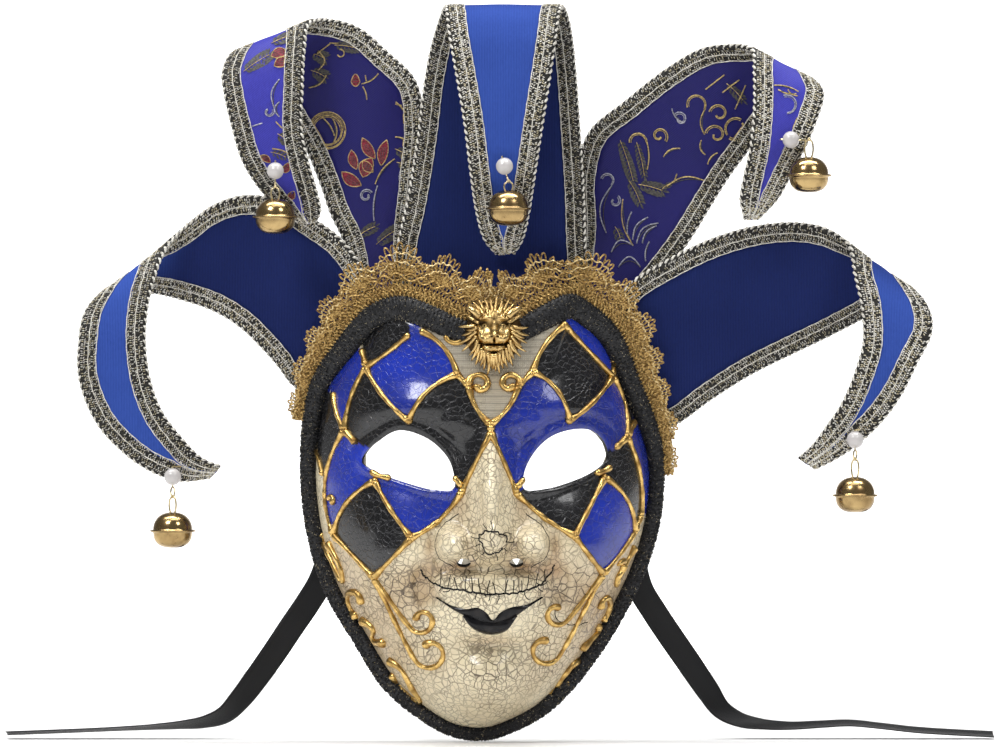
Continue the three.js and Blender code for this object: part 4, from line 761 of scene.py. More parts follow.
def mound(x, z, places):
    """Sum of soft mounds at places in the front view, from 0 to 1."""
    total = 0
    for px, pz, wide, tall, amount in places:
        total = total + amount * np.exp(-((x - px) / wide) ** 2 - ((z - pz) / tall) ** 2)
    return np.clip(total, 0, 1)


# Brown airbrush with painted shade in hollows, and wide cracks round the mouth and nose: x, z, half width,
# half height, amount.
AIRBRUSH_AND_SHADE = [
    (-31, -50, 7, 7, 0.6), (33, -48, 7, 7, 0.6), (-19, -46, 8, 3.5, 0.6), (24, -46, 8, 3.5, 0.6),
    (-10, -44, 6, 2.6, 0.8), (15, -44, 6, 2.6, 0.8), (-42, -60, 10, 12, 0.42), (46, -58, 10, 12, 0.42),
    (-31, -62, 4, 5, 0.4), (35, -61, 4, 5, 0.4), (3, -80, 12, 2.6, 0.4), (-12, -15, 5, 13, 0.5),
    (17.5, -15, 5, 13, 0.5), (-26.5, -36, 3, 8, 0.62), (32.5, -36, 3, 8, 0.62), (-7, -36, 2.4, 6, 0.3),
    (13.4, -36, 2.4, 6, 0.3), (-25, -58, 5, 4, 0.4), (28, -58, 5, 4, 0.4), (-2, -22, 3, 10, 0.1),
]
CRACKED = [
    (2, -52, 36, 13, 1.0), (2, -32, 20, 14, 1.0), (0, -94, 30, 18, 1.0), (-44, -58, 18, 18, 0.9),
    (46, -56, 18, 18, 0.9), (2, 0, 9, 16, 0.6),
]


# Sectors and rings of the skin and of the lining behind it.
SKIN_GRID = (410, 106)
LINING_GRID = (170, 44)


def polar_grid(sectors, rings, back):
    """Skin points on rings round the face's centre; back moves them in by the shell's wall."""
    pick = np.linspace(0, len(shell_edge), sectors, endpoint=False)
    edge = table_at(pick, np.arange(len(shell_edge) + 1), np.vstack([shell_edge, shell_edge[:1]]))
    ring = 1 - (1 - np.linspace(0, 1, rings + 1)[1:]) ** 1.5
    x = SHELL_CENTRE[0] + (edge[None, :, 0] - SHELL_CENTRE[0]) * ring[:, None]
    z = SHELL_CENTRE[1] + (edge[None, :, 2] - SHELL_CENTRE[1]) * ring[:, None]
    x = np.append(SHELL_CENTRE[0], x)
    z = np.append(SHELL_CENTRE[1], z)
    y = skin(x, z)
    faces = [[0, 1 + k, 1 + (k + 1) % sectors] for k in range(sectors)]
    faces += grid_faces(rings, sectors, wrap_cols=True, start=1)
    cut = np.zeros(len(x), int)
    for number, hole in enumerate(HOLES):
        cut[inside(x, z, hole)] = number + 1
    kept = [f for f in faces if not all(cut[k] for k in f)]
    for number, hole in enumerate(HOLES):
        fine = np.vstack([hole + (np.roll(hole, -1, axis=0) - hole) * f for f in (0, 0.25, 0.5, 0.75)])
        for k in np.nonzero(cut == number + 1)[0]:
            near = fine[np.argmin((fine[:, 0] - x[k]) ** 2 + (fine[:, 1] - z[k]) ** 2)]
            x[k], z[k] = near
            y[k] = skin(x[k], z[k])
    points = np.stack([x, y, z], axis=1)
    if back:
        points = points - skin_normal(x, z) * WALL
    used = np.unique(np.concatenate([np.array(f) for f in kept]))
    place = np.full(len(x), -1)
    place[used] = np.arange(len(used))
    return points[used], [[place[k] for k in f] for f in kept]


def face():
    """Painted skin with its attributes, paper lining, and the walls of the holes."""
    points, faces = polar_grid(*SKIN_GRID, back=False)
    obj = piece("face_skin", points, faces, FACE, "face_paint", node="face_shell")
    x, z = points[:, 0], points[:, 2]
    paint = np.tile(CREAM, (len(x), 1))
    lacquer = np.zeros(len(x))
    canvas = np.zeros(len(x))
    for tint, corners in CELLS:
        hit = inside(x, z, cell_outline(corners))
        paint[hit] = PAINTS[tint]
        lacquer[hit] = 0.0 if tint == "canvas" else 1.0
        canvas[hit] = 1.0 if tint == "canvas" else 0.0
    bare = (lacquer + canvas) == 0
    put_attribute(obj, "paint", paint)
    put_attribute(obj, "lacquer", lacquer)
    put_attribute(obj, "canvas", canvas)
    edge = shell_edge[:, ::2] - SHELL_CENTRE
    spot = np.stack([x, z], axis=1) - SHELL_CENTRE
    round_edge = np.arctan2(edge[:, 1], edge[:, 0])
    reach = np.interp(np.arctan2(spot[:, 1], spot[:, 0]), round_edge, np.hypot(*edge.T), period=2 * math.pi)
    share = np.hypot(*spot.T) / reach
    # Painted shade with brown airbrush, darker towards the rim round the jaw.
    jaw = np.clip((share - 0.66) / 0.34, 0, 1) * np.clip((-20 - z) / 25, 0, 1) * np.clip((z + 112) / 30, 0, 1)
    put_attribute(obj, "airbrush_and_shade", np.clip(mound(x, z, AIRBRUSH_AND_SHADE) + 0.55 * jaw, 0, 0.9) * bare)
    put_attribute(obj, "cracked", mound(x, z, CRACKED) * bare)
    points, faces = polar_grid(*LINING_GRID, back=True)
    piece("face_lining", points, [f[::-1] for f in faces], PAPER, "face_paint")
    verts = []
    walls = []
    for hole in HOLES:
        front = np.stack([hole[:, 0], skin(hole[:, 0], hole[:, 1]), hole[:, 1]], axis=1)
        behind = front - skin_normal(hole[:, 0], hole[:, 1]) * WALL
        start = sum(len(v) for v in verts)
        verts.append(np.vstack([front, behind]))
        walls += grid_faces(2, len(hole), wrap_cols=True, start=start)
    piece("hole_edges", np.vstack(verts), walls, LIPS, "face_paint")


face()


def patch_on_skin(upper, lower, lift, rows=8):
    """Thin painted patch between two routes with the same number of places."""
    top = curl_route(upper)
    bottom = curl_route(lower)
    f = np.linspace(0, 1, rows)[:, None, None]
    flat = top[None] * (1 - f) + bottom[None] * f
    x, z = flat[..., 0], flat[..., 1]
    crown = np.sin(np.linspace(0, math.pi, rows))[:, None] * lift
    points = np.stack([x, skin(x, z), z], axis=-1) + skin_normal(x, z) * (0.15 + crown[..., None])
    return points.reshape(-1, 3), grid_faces(rows, x.shape[1])


def mouth():
    """Upper lip between its top and middle lines, and lower lip between its inner and under lines."""
    top = [(-22.9, -59), (-16.5, -62.6), (-9.5, -64.4), (-3.9, -63.7), (0.3, -66.1), (3.3, -69.6),
           (6.6, -66.1), (11.5, -63.7), (18.5, -62.6), (26.2, -58.8)]
    middle = [(-22.9, -59.2), (-15.8, -64.4), (-10.6, -67.2), (-5.5, -69.2), (-1, -70.4), (3.3, -71),
              (7.5, -70.3), (12, -69), (17.4, -65.4), (26.2, -59)]
    inner = [(-10.2, -67), (-7, -68.4), (-3, -69.7), (3.3, -70.8), (8.4, -69.8), (11.5, -68.6), (14, -67)]
    under = [(-10.2, -67.3), (-8.6, -71), (-4.6, -74.6), (2.6, -76.6), (9.4, -74.8), (12.6, -70.6),
             (14, -67.3)]
    lips = [patch_on_skin(top, middle, 0.9), patch_on_skin(inner, under, 1.7)]
    piece("painted_lips", *join(lips), LIPS, "face_paint")


mouth()


def crack(x, z, turn, length, wander=0.5):
    """Wandering crack from a place in the front view, its first heading in degrees."""
    route = [(x, z)]
    turn = math.radians(turn)
    while length > 0:
        step = rng.uniform(0.6, 1.1)
        x, z = x + step * math.cos(turn), z + step * math.sin(turn)
        turn += rng.uniform(-wander, wander)
        route.append((x, z))
        length -= step
    return np.array(route)


# Crease round a wing of the nose: mm off the nose's middle, and height.
WING_CREASE = [(15.5, -20), (23, -25.5), (26.6, -33), (25, -40.5), (18, -45)]
NOSE_TIP = (3.2, -32.6)


def smile_cracks():
    """Dark broken line of the smile, the cracks that run from it, and the cracked ring on the nose's tip."""
    smile = curl_route([(-30.5, -45.8), (-27.5, -50.5), (-20.5, -54), (-9, -56), (3, -57.6), (15, -56.6),
                        (25, -53.6), (30, -48), (32.4, -43.5)])
    spin = np.linspace(0, 2 * math.pi, 34)
    wide = 1 + 0.13 * np.sin(3 * spin + 0.6) + 0.08 * np.sin(5 * spin)
    ring = np.stack([6.1 * wide * np.cos(spin), 5.4 * wide * np.sin(spin)], axis=1)[:-3] + NOSE_TIP
    bold = []
    for route in (smile, ring):
        bold.append(route + np.array([(rng.uniform(-0.5, 0.5), rng.uniform(-0.6, 0.6)) for _ in route]))
    fine = [crack(33, -64, -100, 22)]
    for way in (-1, 1):
        wing = curl_route([(3 + way * x, z) for x, z in WING_CREASE])
        fine.append(wing + np.array([(rng.uniform(-0.2, 0.2), rng.uniform(-0.2, 0.2)) for _ in wing]))
    for x in np.arange(-21, 28, 3.7):
        x = float(x) + rng.uniform(-0.9, 0.9)
        z = float(np.interp(x, smile[:, 0], smile[:, 1]))
        fine.append(crack(x, z, 90 + rng.uniform(-9, 9), rng.uniform(4.5, 8.5), 0.16))
        if rng.random() < 0.7:
            fine.append(crack(x + 1.4, z, -90 + rng.uniform(-45, 45), rng.uniform(1.5, 5.5)))
    for k in range(9):
        a = math.radians(40 * k + rng.uniform(-12, 12))
        x, z = NOSE_TIP[0] + 6.1 * math.cos(a), NOSE_TIP[1] + 5.6 * math.sin(a)
        fine.append(crack(x, z, math.degrees(a), rng.uniform(1.5, 4.5)))
    made = []
    for routes, radius in ((bold, 0.46), (fine, 0.25)):
        made.append(tubes([on_skin(route, 0.0, 0.4) for route in routes], radius, 4))
    piece("smile_cracks", *join(made), LIPS, "face_paint")


smile_cracks()

# Loose gilt strokes along the rim and small curls, routes in mm in the front view.
STROKES = {
    "rim_scroll_left_1": [(-78.5, -30), (-76.3, -36), (-73.5, -42), (-70.5, -48), (-67.6, -52.4),
                          (-68.6, -46), (-71.4, -40), (-74.6, -34.5)],
    "rim_scroll_left_2": [(-58.5, -63.5), (-59.5, -59.4), (-62, -57.7), (-64.8, -58.6), (-65.2, -62),
                          (-63.4, -66.4), (-60.4, -70.4)],
    "rim_scroll_left_3": [(-59, -71), (-55.6, -72.6), (-53, -75.4), (-53.6, -79), (-51.6, -81.6),
                          (-47.3, -81.3)],
    "rim_scroll_left_4": [(-46, -90), (-42.4, -91.6), (-39, -95), (-36.6, -99.5), (-34, -104), (-31, -109.5),
                          (-36.4, -106.4), (-41.4, -101.5), (-44.6, -96)],
    "rim_scroll_right_1": [(70, -36), (67.6, -41), (64.6, -46), (61.6, -51.4), (61.2, -54.6), (62.8, -50),
                           (65, -44)],
    "rim_scroll_right_2": [(53.6, -65.6), (54.6, -61.8), (57, -60.4), (58.4, -62.8), (57.4, -67),
                           (54.6, -72)],
    "rim_scroll_right_3": [(53, -73), (52.4, -76.4), (50, -79.4), (47, -82.4), (44.4, -84.6)],
    "rim_scroll_right_4": [(44.6, -89.6), (41, -91.6), (38, -95), (34.6, -100), (31.6, -105), (29.4, -109.6),
                           (35, -105.4), (39.6, -100)],
}
CURLS = [
    [(-82.5, 15.5), (-80.8, 9.5), (-78.6, 3), (-77, -3)],
    [(-74.5, -14.5), (-73, -12.6), (-71.6, -14.4), (-73, -16.2)],
    [(-54.5, -0.4), (-50, -2.6), (-44.3, -3.9)], [(51, -1.6), (55, -0.4), (59, 1.8)],
    [(-11.3, -7.8), (-13, -5), (-14.9, -2.5)], [(14.3, -8.5), (16, -5.8), (17.9, -3.1)],
    [(66, -42.6), (63.6, -43.4), (61.6, -45)], [(-19.3, 63.4), (-17.4, 60.6), (-14.4, 59.6), (-10.2, 60.6)],
]


def spiral(x, z, first_radius, last_radius, first_angle, last_angle, count):
    """Flat curl round a place."""
    f = np.linspace(0, 1, count)
    turn = np.radians(first_angle + (last_angle - first_angle) * f)
    r = first_radius + (last_radius - first_radius) * f
    return np.stack([x + np.cos(turn) * r, z + np.sin(turn) * r], axis=1)


def scroll_route(start, *curl):
    return curl_route(np.vstack([NODES[start], spiral(*curl, 15)]))


def paste(route, radius, seed):
    """Rounded line of paste, a little uneven, sunk in the skin by half, with rounded ends."""
    points, out = on_skin(route, 0.3, 0.6)
    n = len(points)
    wave = np.sin(np.linspace(0, n * 0.23, n) + seed) * 0.11
    wave = wave + np.sin(np.linspace(0, n * 0.61, n) + seed * 2) * 0.06
    end = np.minimum(np.arange(n), np.arange(n)[::-1])
    swell = 0.9 + wave + 0.6 * np.exp(-(end / 6.0) ** 2)
    return tubes([(points, out)], radius * swell * np.maximum(np.sqrt(np.minimum(end / 2.0, 1.0)), 0.25), 10)


def dab(place, radius):
    """Rounded drop of paste where lines meet."""
    x, z = place
    out = skin_normal(np.array(x), np.array(z))
    side = unit(np.cross(out, (0.0, 0.0, 1.0)))
    third = np.cross(side, out)
    turn = circle(16)
    flat = np.cos(turn)[:, None] * side + np.sin(turn)[:, None] * third
    middle = np.array((x, float(skin(x, z)), z))
    rings = [middle + radius * (flat * math.cos(a) + out * math.sin(a) * 0.9)
             for a in np.radians((84, 60, 38, 18, 0, -20))]
    return np.vstack(rings), tube_faces(len(rings), len(turn))


def gilt():
    """Net of gilt lines with scrolls, curls and dabs, and the loose strokes along the rim."""
    lines = [paste(bow_route(a, b, bow), 1.3, k) for k, (a, b, bow) in enumerate(LINES)]
    lines += [paste(scroll_route(*row), 1.6 if k < 2 else 1.4, 40 + k) for k, row in enumerate(SCROLLS)]
    lines += [paste(curl_route(c), 1.1, 60 + k) for k, c in enumerate(CURLS)]
    ends = [name for a, b, bow in LINES for name in (a, b)]
    lines += [dab(NODES[name], 2.0) for name in NODES if ends.count(name) > 1]
    piece("gilt_lines", *join(lines), GILT, "gilt", node="gilt_lattice")
    for k, (name, route) in enumerate(STROKES.items()):
        piece(name + "_gold", *paste(curl_route(route), 1.7, 80 + k), GILT, "gilt", node=name)


gilt()


def rim_braid():
    """Padded knitted band round the shell: an oval section with lanes of slanting stitches."""
    around = 28
    lanes = 8
    closed = np.vstack([rim, rim[:1]])
    length = run_length(closed[:, :3])
    count = int(length[-1] / 0.5)
    s = np.linspace(0, length[-1], count, endpoint=False)
    row = table_at(s, length, closed)
    inn = unit(table_at(s, length, np.vstack([rim_in, rim_in[:1]])))
    turn = circle(around)
    lane = turn / (2 * math.pi) * lanes
    share = lane - np.floor(lane)
    way = np.where(np.floor(lane) % 2 == 0, 1.0, -1.0)
    uneven = np.array([rng.uniform(-0.5, 0.5) for _ in range(count)])[:, None]
    slant = np.cos(2 * math.pi * (s[:, None] / 2.0 + way[None] * (share[None] - 0.5) * 0.8) + uneven)
    high = 0.5 * (0.3 + 0.7 * slant) * np.sin(math.pi * share)[None] ** 0.6
    inner = row[:, 3:4] + 0.7
    outer = -1.3 * np.clip((row[:, 2:3] + 124) / 25, 0, 1) * np.clip((11 - row[:, 3:4]) / 4, 0, 1)
    wide = (inner - outer) / 2 - 0.2
    deep = np.minimum(2.7, 1.2 + row[:, 3:4] * 0.2)
    middle = row[:, :3] + inn * (inner + outer) / 2
    points = (middle[:, None]
              + inn[:, None] * ((wide + high) * np.cos(turn))[..., None]
              + AHEAD * ((deep + high) * np.sin(turn))[..., None])
    faces = grid_faces(count, around, wrap_rows=True, wrap_cols=True)
    piece("rim_knit", points.reshape(-1, 3), faces, KNIT, "knit", node="rim_braid")

    number = 11000
    pick = np.array([rng.randrange(count) for _ in range(number)])
    turn = np.array([rng.uniform(-0.8, math.pi + 0.8) for _ in range(number)])
    c, si = np.cos(turn)[:, None], np.sin(turn)[:, None]
    spot = middle[pick] + inn[pick] * (wide[pick] + 0.15) * c + AHEAD * (deep[pick] + 0.15) * si
    out = unit(inn[pick] * c / wide[pick] + AHEAD * si / deep[pick])
    run = unit(np.roll(middle, -1, axis=0) - np.roll(middle, 1, axis=0))[pick]
    over = unit(np.cross(out, run))
    swing = np.array([rng.choice((-1, 1)) * rng.uniform(0.2, 1.1) for _ in range(number)])[:, None]
    long = run * np.cos(swing) + over * np.sin(swing)
    axes = (long * 0.8, np.cross(out, long) * 0.42, out * 0.5)
    bright = np.arange(number) % 4 == 0
    for name, keep, yarn, size in (("rim_stitches", ~bright, KNIT, 1.0), ("rim_glints", bright, GLINT, 0.6)):
        piece(name, *stitches(spot[keep], [a[keep] * size for a in axes]), yarn, "knit")


rim_braid()


def lace():
    """Gold lace as yarn: crocheted loops along the braid, a ground of crossing threads, a pale wavy gimp
    and fans of long loops that make the scallops."""
    rows = slice(LACE_FIRST * RIM_STEPS, LACE_LAST * RIM_STEPS + 1)
    part = rim[rows]
    out = -rim_in[rows]
    base = run_length(part[:, :3])
    full = base[-1]

    def at(s, d, ahead):
        """Places by length along the rim, mm out from it and mm ahead of it."""
        s = np.clip(s, 0, full)
        away = np.broadcast_to(np.asarray(d, float), s.shape)[:, None]
        lift = np.broadcast_to(np.asarray(ahead, float), s.shape)[:, None]
        return table_at(s, base, part[:, :3]) + unit(table_at(s, base, out)) * away + AHEAD * lift

    def depth(s):
        return np.interp(s, base, part[:, 4])

    loops = []
    for centre, size, pitch, ahead, phase in ((1.3, 1.75, 2.1, 0.5, 0), (4.2, 1.6, 2.3, 0.1, 1.3)):
        steps = np.arange(0, full / pitch * 2 * math.pi, 0.52)
        s = steps / (2 * math.pi) * pitch + np.sin(steps) * size * 0.8
        d = centre + np.cos(steps + phase) * size
        made = at(s, d, ahead + 0.3 * np.sin(steps * 2))
        loops.append(made[depth(s) > centre + 1.5])
    s = np.arange(0, full, 0.9)
    section = ((-1.5, -0.5), (0.4, -0.3), (2.4, -0.35), (4.6, -0.5), (4.6, -0.9), (-1.5, -0.9))
    tape = np.stack([at(s, d, a + 0.15 * np.sin(s * 2.4 + d)) for d, a in section], axis=1)
    piece("lace_tape", tape.reshape(-1, 3), tube_faces(len(s), len(section)), LACE_GOLD, "lace")
    piece("lace_loops", *tubes(loops, 0.36, 5), LACE_GOLD, "lace", node="lace")

    ground = []
    s = np.arange(0, full, 0.8)
    for k in range(7):
        share = 0.30 + 0.055 * k
        d = depth(s) * (share + 0.06 * np.sin(s / (1.1 + 0.13 * k) + k * 1.7)) + 1.0
        ground.append(at(s, d, 0.25 * np.sin(s / 0.9 + k)))
    f = np.linspace(0, 1, 8)
    for way in (1, -1):
        for start in np.arange(1.0, full - 1.0, 1.55):
            s = np.clip(start + way * (5.5 * f - 2.7) + 0.35 * np.sin(f * 19 + start), 0, full)
            ground.append(at(s, 0.2 + depth(s) * 0.74 * f, 0.2 * np.sin(f * 16 + start) + 0.1 * way))
    piece("lace_ground", *tubes(ground, 0.33, 4), LACE_GOLD, "lace")

    s = np.arange(0, full, 0.6)
    wave = 1.7 * np.sin(s / 10.5 * 2 * math.pi)
    gimp = [at(s, depth(s) * 0.36 + 0.6 + way * wave, ahead) for way, ahead in ((1, 0.9), (-1, 0.7))]
    piece("lace_gimp", *tubes(gimp, 0.45, 6), LACE_GOLD, "lace")

    fans = []
    edging = []
    count = round(full / SCALLOP)
    spread = full / count / 2
    t = np.linspace(0, 2 * math.pi, 20)
    rise = (1 - np.cos(t)) / 2
    side = np.sin(t) * np.sqrt(np.maximum(rise, 0)) * 0.95
    for k in range(count):
        middle = (k + 0.5) * full / count
        reach = float(depth(middle)) + 2.0
        root = reach * 0.40
        for j in range(-4, 5):
            lean = j / 4.0
            tip = reach * (1.0 - 0.34 * lean ** 2) - (0.8 if j % 2 else 0.0)
            s = middle + lean * spread * (0.35 + 0.6 * rise) + side
            fans.append(at(s, root + (tip - root) * rise, 0.15 + 0.12 * (j % 2)))
        s = np.arange(middle - spread, middle + spread, 0.5)
        lean = (s - middle) / spread
        d = reach * (0.80 - 0.24 * lean ** 2) + 0.5 * np.sin(s * 2.4)
        edging += [at(s, d, 0.5), at(s, d - reach * 0.17, 0.45)]
    piece("lace_fans", *tubes(fans, 0.42, 5), LACE_GOLD, "lace")
    piece("lace_edging", *tubes(edging, 0.38, 5), LACE_PALE, "lace")


lace()


# Points to a section of a horn, and where painted light begins on its cloth at the fold, the cloth before it
# in painted shade: first section and how many.
HORN_STEPS = 24
PAINTED_LIGHT_START = 6.3
PAINTED_LIGHT_RUN = 2.2


class Horn:
    """Cloth horn between two edges, with places on it by length along and share across."""

    def __init__(self, rows):
        rows = np.array(rows, float)
        a = spline(rows[:, :3], HORN_STEPS)
        b = spline(rows[:, 3:], HORN_STEPS)
        self.a, self.b = a, b
        self.across = unit(b - a)
        self.middle = (a + b) / 2
        along = unit(np.gradient(self.middle, axis=0))
        self.through = unit(np.cross(self.across, along))
        self.width = np.linalg.norm(b - a, axis=1)
        self.length = run_length(self.middle)
        self.inset = []
        for edge in (a, b):
            run = unit(np.gradient(edge, axis=0))
            square = np.linalg.norm(np.cross(self.across, run), axis=1)
            self.inset.append(np.minimum(BRAID_WIDTH / np.maximum(square, 0.6), self.width / 2 - 0.05))

    def edge(self, side, f):
        """Points at share f of the braid's width in from an edge."""
        if side == 0:
            return self.a + self.across * self.inset[0][:, None] * f
        return self.b - self.across * self.inset[1][:, None] * f

    def at(self, along, over, lift):
        """Places on the cloth: length along and mm off the middle line."""
        middle, across, through = (table_at(along, self.length, table)
                                   for table in (self.middle, self.across, self.through))
        return middle + across * np.asarray(over)[..., None] + through * np.asarray(lift)[..., None]

    def half(self, along):
        """Half the cloth's width between the braids."""
        free = self.width - self.inset[0] - self.inset[1]
        return np.interp(along, self.length, free) / 2

    def offset(self, along):
        """Middle of the cloth off the horn's middle line."""
        return np.interp(along, self.length, (self.inset[0] - self.inset[1])) / 2


SHAPES = {name: Horn(rows) for name, rows in HORNS.items()}


def horn_cloth(name, horn, material, slot):
    """Cloth between the braids: two faces over stiffening, with a slight swell and soft wrinkles."""
    cols = 12
    f = np.linspace(0, 1, cols)
    inner_a = horn.edge(0, 0.8)
    inner_b = horn.edge(1, 0.8)
    n = len(horn.a)
    flat = inner_a[:, None] * (1 - f)[None, :, None] + inner_b[:, None] * f[None, :, None]
    across = np.sin(math.pi * f)[None]
    ripple = 0.22 * np.sin(horn.length[:, None] / 9.0 + 5 * f[None] + len(name) * 1.7) * across
    half = 0.9 + 0.14 * across
    front = flat + horn.through[:, None] * (half + ripple)[..., None]
    behind = flat - horn.through[:, None] * (half - ripple)[..., None]
    loop = np.concatenate([front, behind[:, ::-1]], axis=1).reshape(-1, 3)
    obj = piece("horn_" + name + "_cloth", loop, strip_faces(n, cols), material, slot, node="horn_" + name)
    # Painted light on the cloth past the fold, painted shade on its standing part.
    fold = np.clip((np.arange(n) / HORN_STEPS - PAINTED_LIGHT_START) / PAINTED_LIGHT_RUN, 0, 1)
    put_attribute(obj, "painted_light", np.repeat(fold * fold * (3 - 2 * fold), 2 * cols))
    widths = np.linalg.norm(inner_b - inner_a, axis=1)
    area = float(((widths[1:] + widths[:-1]) / 2 * np.diff(horn.length)).sum()) * MM * MM


def horn_braid(name, horn):
    """Flat gimp along both edges: a black band with columns of pale slanting stitches on both faces, silver
    threads along it and a twisted cord on its outer edge."""
    bands = []
    cords = ([], [])
    pale = ([], [])
    threads = []
    for side in (0, 1):
        rim_line, in_line = horn.edge(side, 0.0), horn.edge(side, 1.0)
        length = run_length(rim_line)
        full = length[-1]

        def lane(s, f, lift):
            """Places by length along, share across and mm up, and the ways up and inward there."""
            rim_at, in_at, up = (table_at(s, length, line) for line in (rim_line, in_line, horn.through))
            f = np.broadcast_to(np.asarray(f, float), s.shape)[:, None]
            lift = np.broadcast_to(np.asarray(lift, float), s.shape)[:, None]
            return rim_at + (in_at - rim_at) * f + unit(up) * lift, unit(up), unit(in_at - rim_at)

        s = np.arange(0, full, 1.2)
        high = BRAID_THICK / 2 - 0.45
        ring = np.stack([lane(s, f, lift * high)[0] for f, lift in BRAID_SECTION], axis=1)
        bands.append((ring.reshape(-1, 3), tube_faces(len(s), len(BRAID_SECTION))))

        s = np.arange(0, full, 0.62)
        for strand in (0, 1):
            spin = 2 * math.pi * s / 3.4 + strand * math.pi
            cords[strand].append(lane(s, 0.055 + 0.05 * np.cos(spin), 0.62 * np.sin(spin))[:2])
        for face_way in (1, -1):
            for column, f in enumerate((0.2, 0.33, 0.46, 0.62, 0.75, 0.88)):
                s = np.arange(0.4 + 0.5 * (column % 2), full - 0.4, 1.08)
                s = s + np.array([rng.uniform(-0.22, 0.22) for _ in s])
                s = s[np.array([rng.random() < 0.8 for _ in s])]
                swing = np.array([rng.uniform(-0.25, 0.25) for _ in s]) + (0.5 if column % 2 else -0.5)
                middle, up, over = lane(s, f + 0.012 * np.sin(s * 1.3), face_way * (high * 1.08))
                run = unit(np.cross(up, over))
                long = over * np.cos(swing)[:, None] + run * np.sin(swing)[:, None]
                thin = np.cross(up, long)
                gilded = np.array([rng.random() < 0.38 for _ in s])
                for kind, mask in enumerate((gilded, ~gilded)):
                    axes = [(axis * size)[mask] for axis, size in ((long, 0.82), (thin, 0.4), (up, 0.44))]
                    pale[kind].append(stitches(middle[mask], axes))
            s = np.arange(0, full, 1.5)
            for f, wave in ((0.54, 0.012), (0.965, 0.01)):
                threads.append(lane(s, f + wave * np.sin(s * 0.9), face_way * (high * 1.05 + 0.12))[:2])
    node = "braid_" + name
    piece(node + "_band", *join(bands), YARN_BLACK, "horn_braid", node=node)
    for part, made, yarn in (("_white", tubes(cords[0], 0.74, 4), YARN_WHITE),
                             ("_dark", tubes(cords[1], 0.34, 4), YARN_BLACK),
                             ("_gold", join(pale[0]), YARN_GOLD),
                             ("_silver", join(pale[1]), YARN_WHITE),
                             ("_thread", tubes(threads, 0.27, 4), YARN_WHITE)):
        piece(node + part, *made, yarn, "horn_braid")


def leaf(length, width, turn, x, y, bend=0.0):
    """Pointed leaf as two edges beside its own middle line, in mm on the flat cloth."""
    t = np.linspace(0, 1, 8)
    half = width / 2 * np.sin(math.pi * t) ** 0.8
    rise = bend * np.sin(math.pi * t)
    return [np.stack([t * length, rise + way * half], axis=1) @ turned(turn) + (x, y) for way in (1, -1)]


def blade(edges, place):
    """Raised leaf between its two edges, put on the cloth by place."""
    left, right = edges
    points = np.stack([left, (left + right) / 2, right], axis=1).reshape(-1, 2)
    return place(points), grid_faces(len(left), 3)


def thread(route, place, radius):
    return tubes([place(route)], radius, 4)


def brocade_motifs():
    """Blades and lines of a lotus, a spray, a ring flower and a cloud scroll, flat round their middle."""
    petals = [leaf(8.6, 4.2, 90, 0, 2), leaf(8.4, 3.8, 52, 2.2, 1.2, 0.8),
              leaf(8.4, 3.8, 128, -2.2, 1.2, -0.8), leaf(8.0, 3.6, 12, 2.6, -1.6, 1.0),
              leaf(8.0, 3.6, 168, -2.6, -1.6, -1.0)]
    lotus = [("red", petal) for petal in petals]
    lotus += [("gold", leaf(3.6, 2.6, 90, 0, -2)), ("silver", leaf(15, 0.9, -80, 0, -2, 2.0)),
              ("leaf", leaf(8, 3.2, -35, 1.5, -8, 1.0))]
    spray = [("gold", leaf(26, 1.0, 60, -6, -11, 2.5))]
    for k in range(5):
        x, y = -4 + 2.6 * k, -7.5 + 4.2 * k
        spray.append(("gold", leaf(7.5, 3.0, 110 + 8 * k, x, y, 0.8)))
        spray.append(("silver", leaf(7.0, 2.6, 8 + 8 * k, x + 0.6, y + 1.2, -0.8)))
    ring = [("gold", leaf(4.2, 2.0, turn, 0, 0)) for turn in range(0, 360, 45)]
    ring.append(("red", leaf(3.0, 3.0, 0, -1.5, 0)))
    curls = {
        "lotus": [("silver", -4, -10, 3.2, 0.8, -20, 400)],
        "spray": [("gold", -9, 2, 3.6, 0.8, -60, 330), ("silver", 8, -6, 3.4, 0.8, 120, -260)],
        "ring": [("silver", 0, 0, 6.4, 6.4, 0, 360), ("gold", 0, 0, 7.6, 7.6, 0, 360)],
        "scroll": [("gold", 0, 0, 6.0, 1.0, -100, 420), ("gold", 8, 3, 4.0, 0.8, 230, -190),
                   ("silver", -7, 5, 3.6, 0.8, -50, 360)],
    }
    lines = {kind: [(tint, spiral(*curl, CURL_POINTS)) for tint, *curl in rows]
             for kind, rows in curls.items()}
    lines["lotus"] += [("gold", np.vstack([left, right[::-1]])) for left, right in petals]
    return {"lotus": lotus, "spray": spray, "ring": ring, "scroll": []}, lines


# Places of the woven motifs on the back: length along the horn and mm off its middle, turn in degrees.
WOVEN = {
    "upper_left": [
        ("scroll", 20, -4, 40), ("spray", 38, 8, 20), ("lotus", 62, 6, 200), ("ring", 88, 14, 0),
        ("spray", 84, -10, 120), ("scroll", 106, -4, 80), ("lotus", 122, 12, 150), ("spray", 142, 2, 60),
        ("scroll", 166, 6, 10), ("lotus", 178, -4, 90), ("spray", 200, 2, 240), ("ring", 219, 0, 0),
    ],
    "upper_right": [
        ("scroll", 20, 4, 140), ("spray", 40, -8, 160), ("spray", 56, 10, 250), ("scroll", 76, -8, 20),
        ("spray", 92, 4, 200), ("scroll", 112, -10, 0), ("spray", 118, 12, 70), ("scroll", 138, 2, 100),
        ("spray", 158, -4, 30), ("scroll", 182, 0, 130), ("scroll", 204, 2, 60), ("spray", 222, 0, 10),
    ],
}
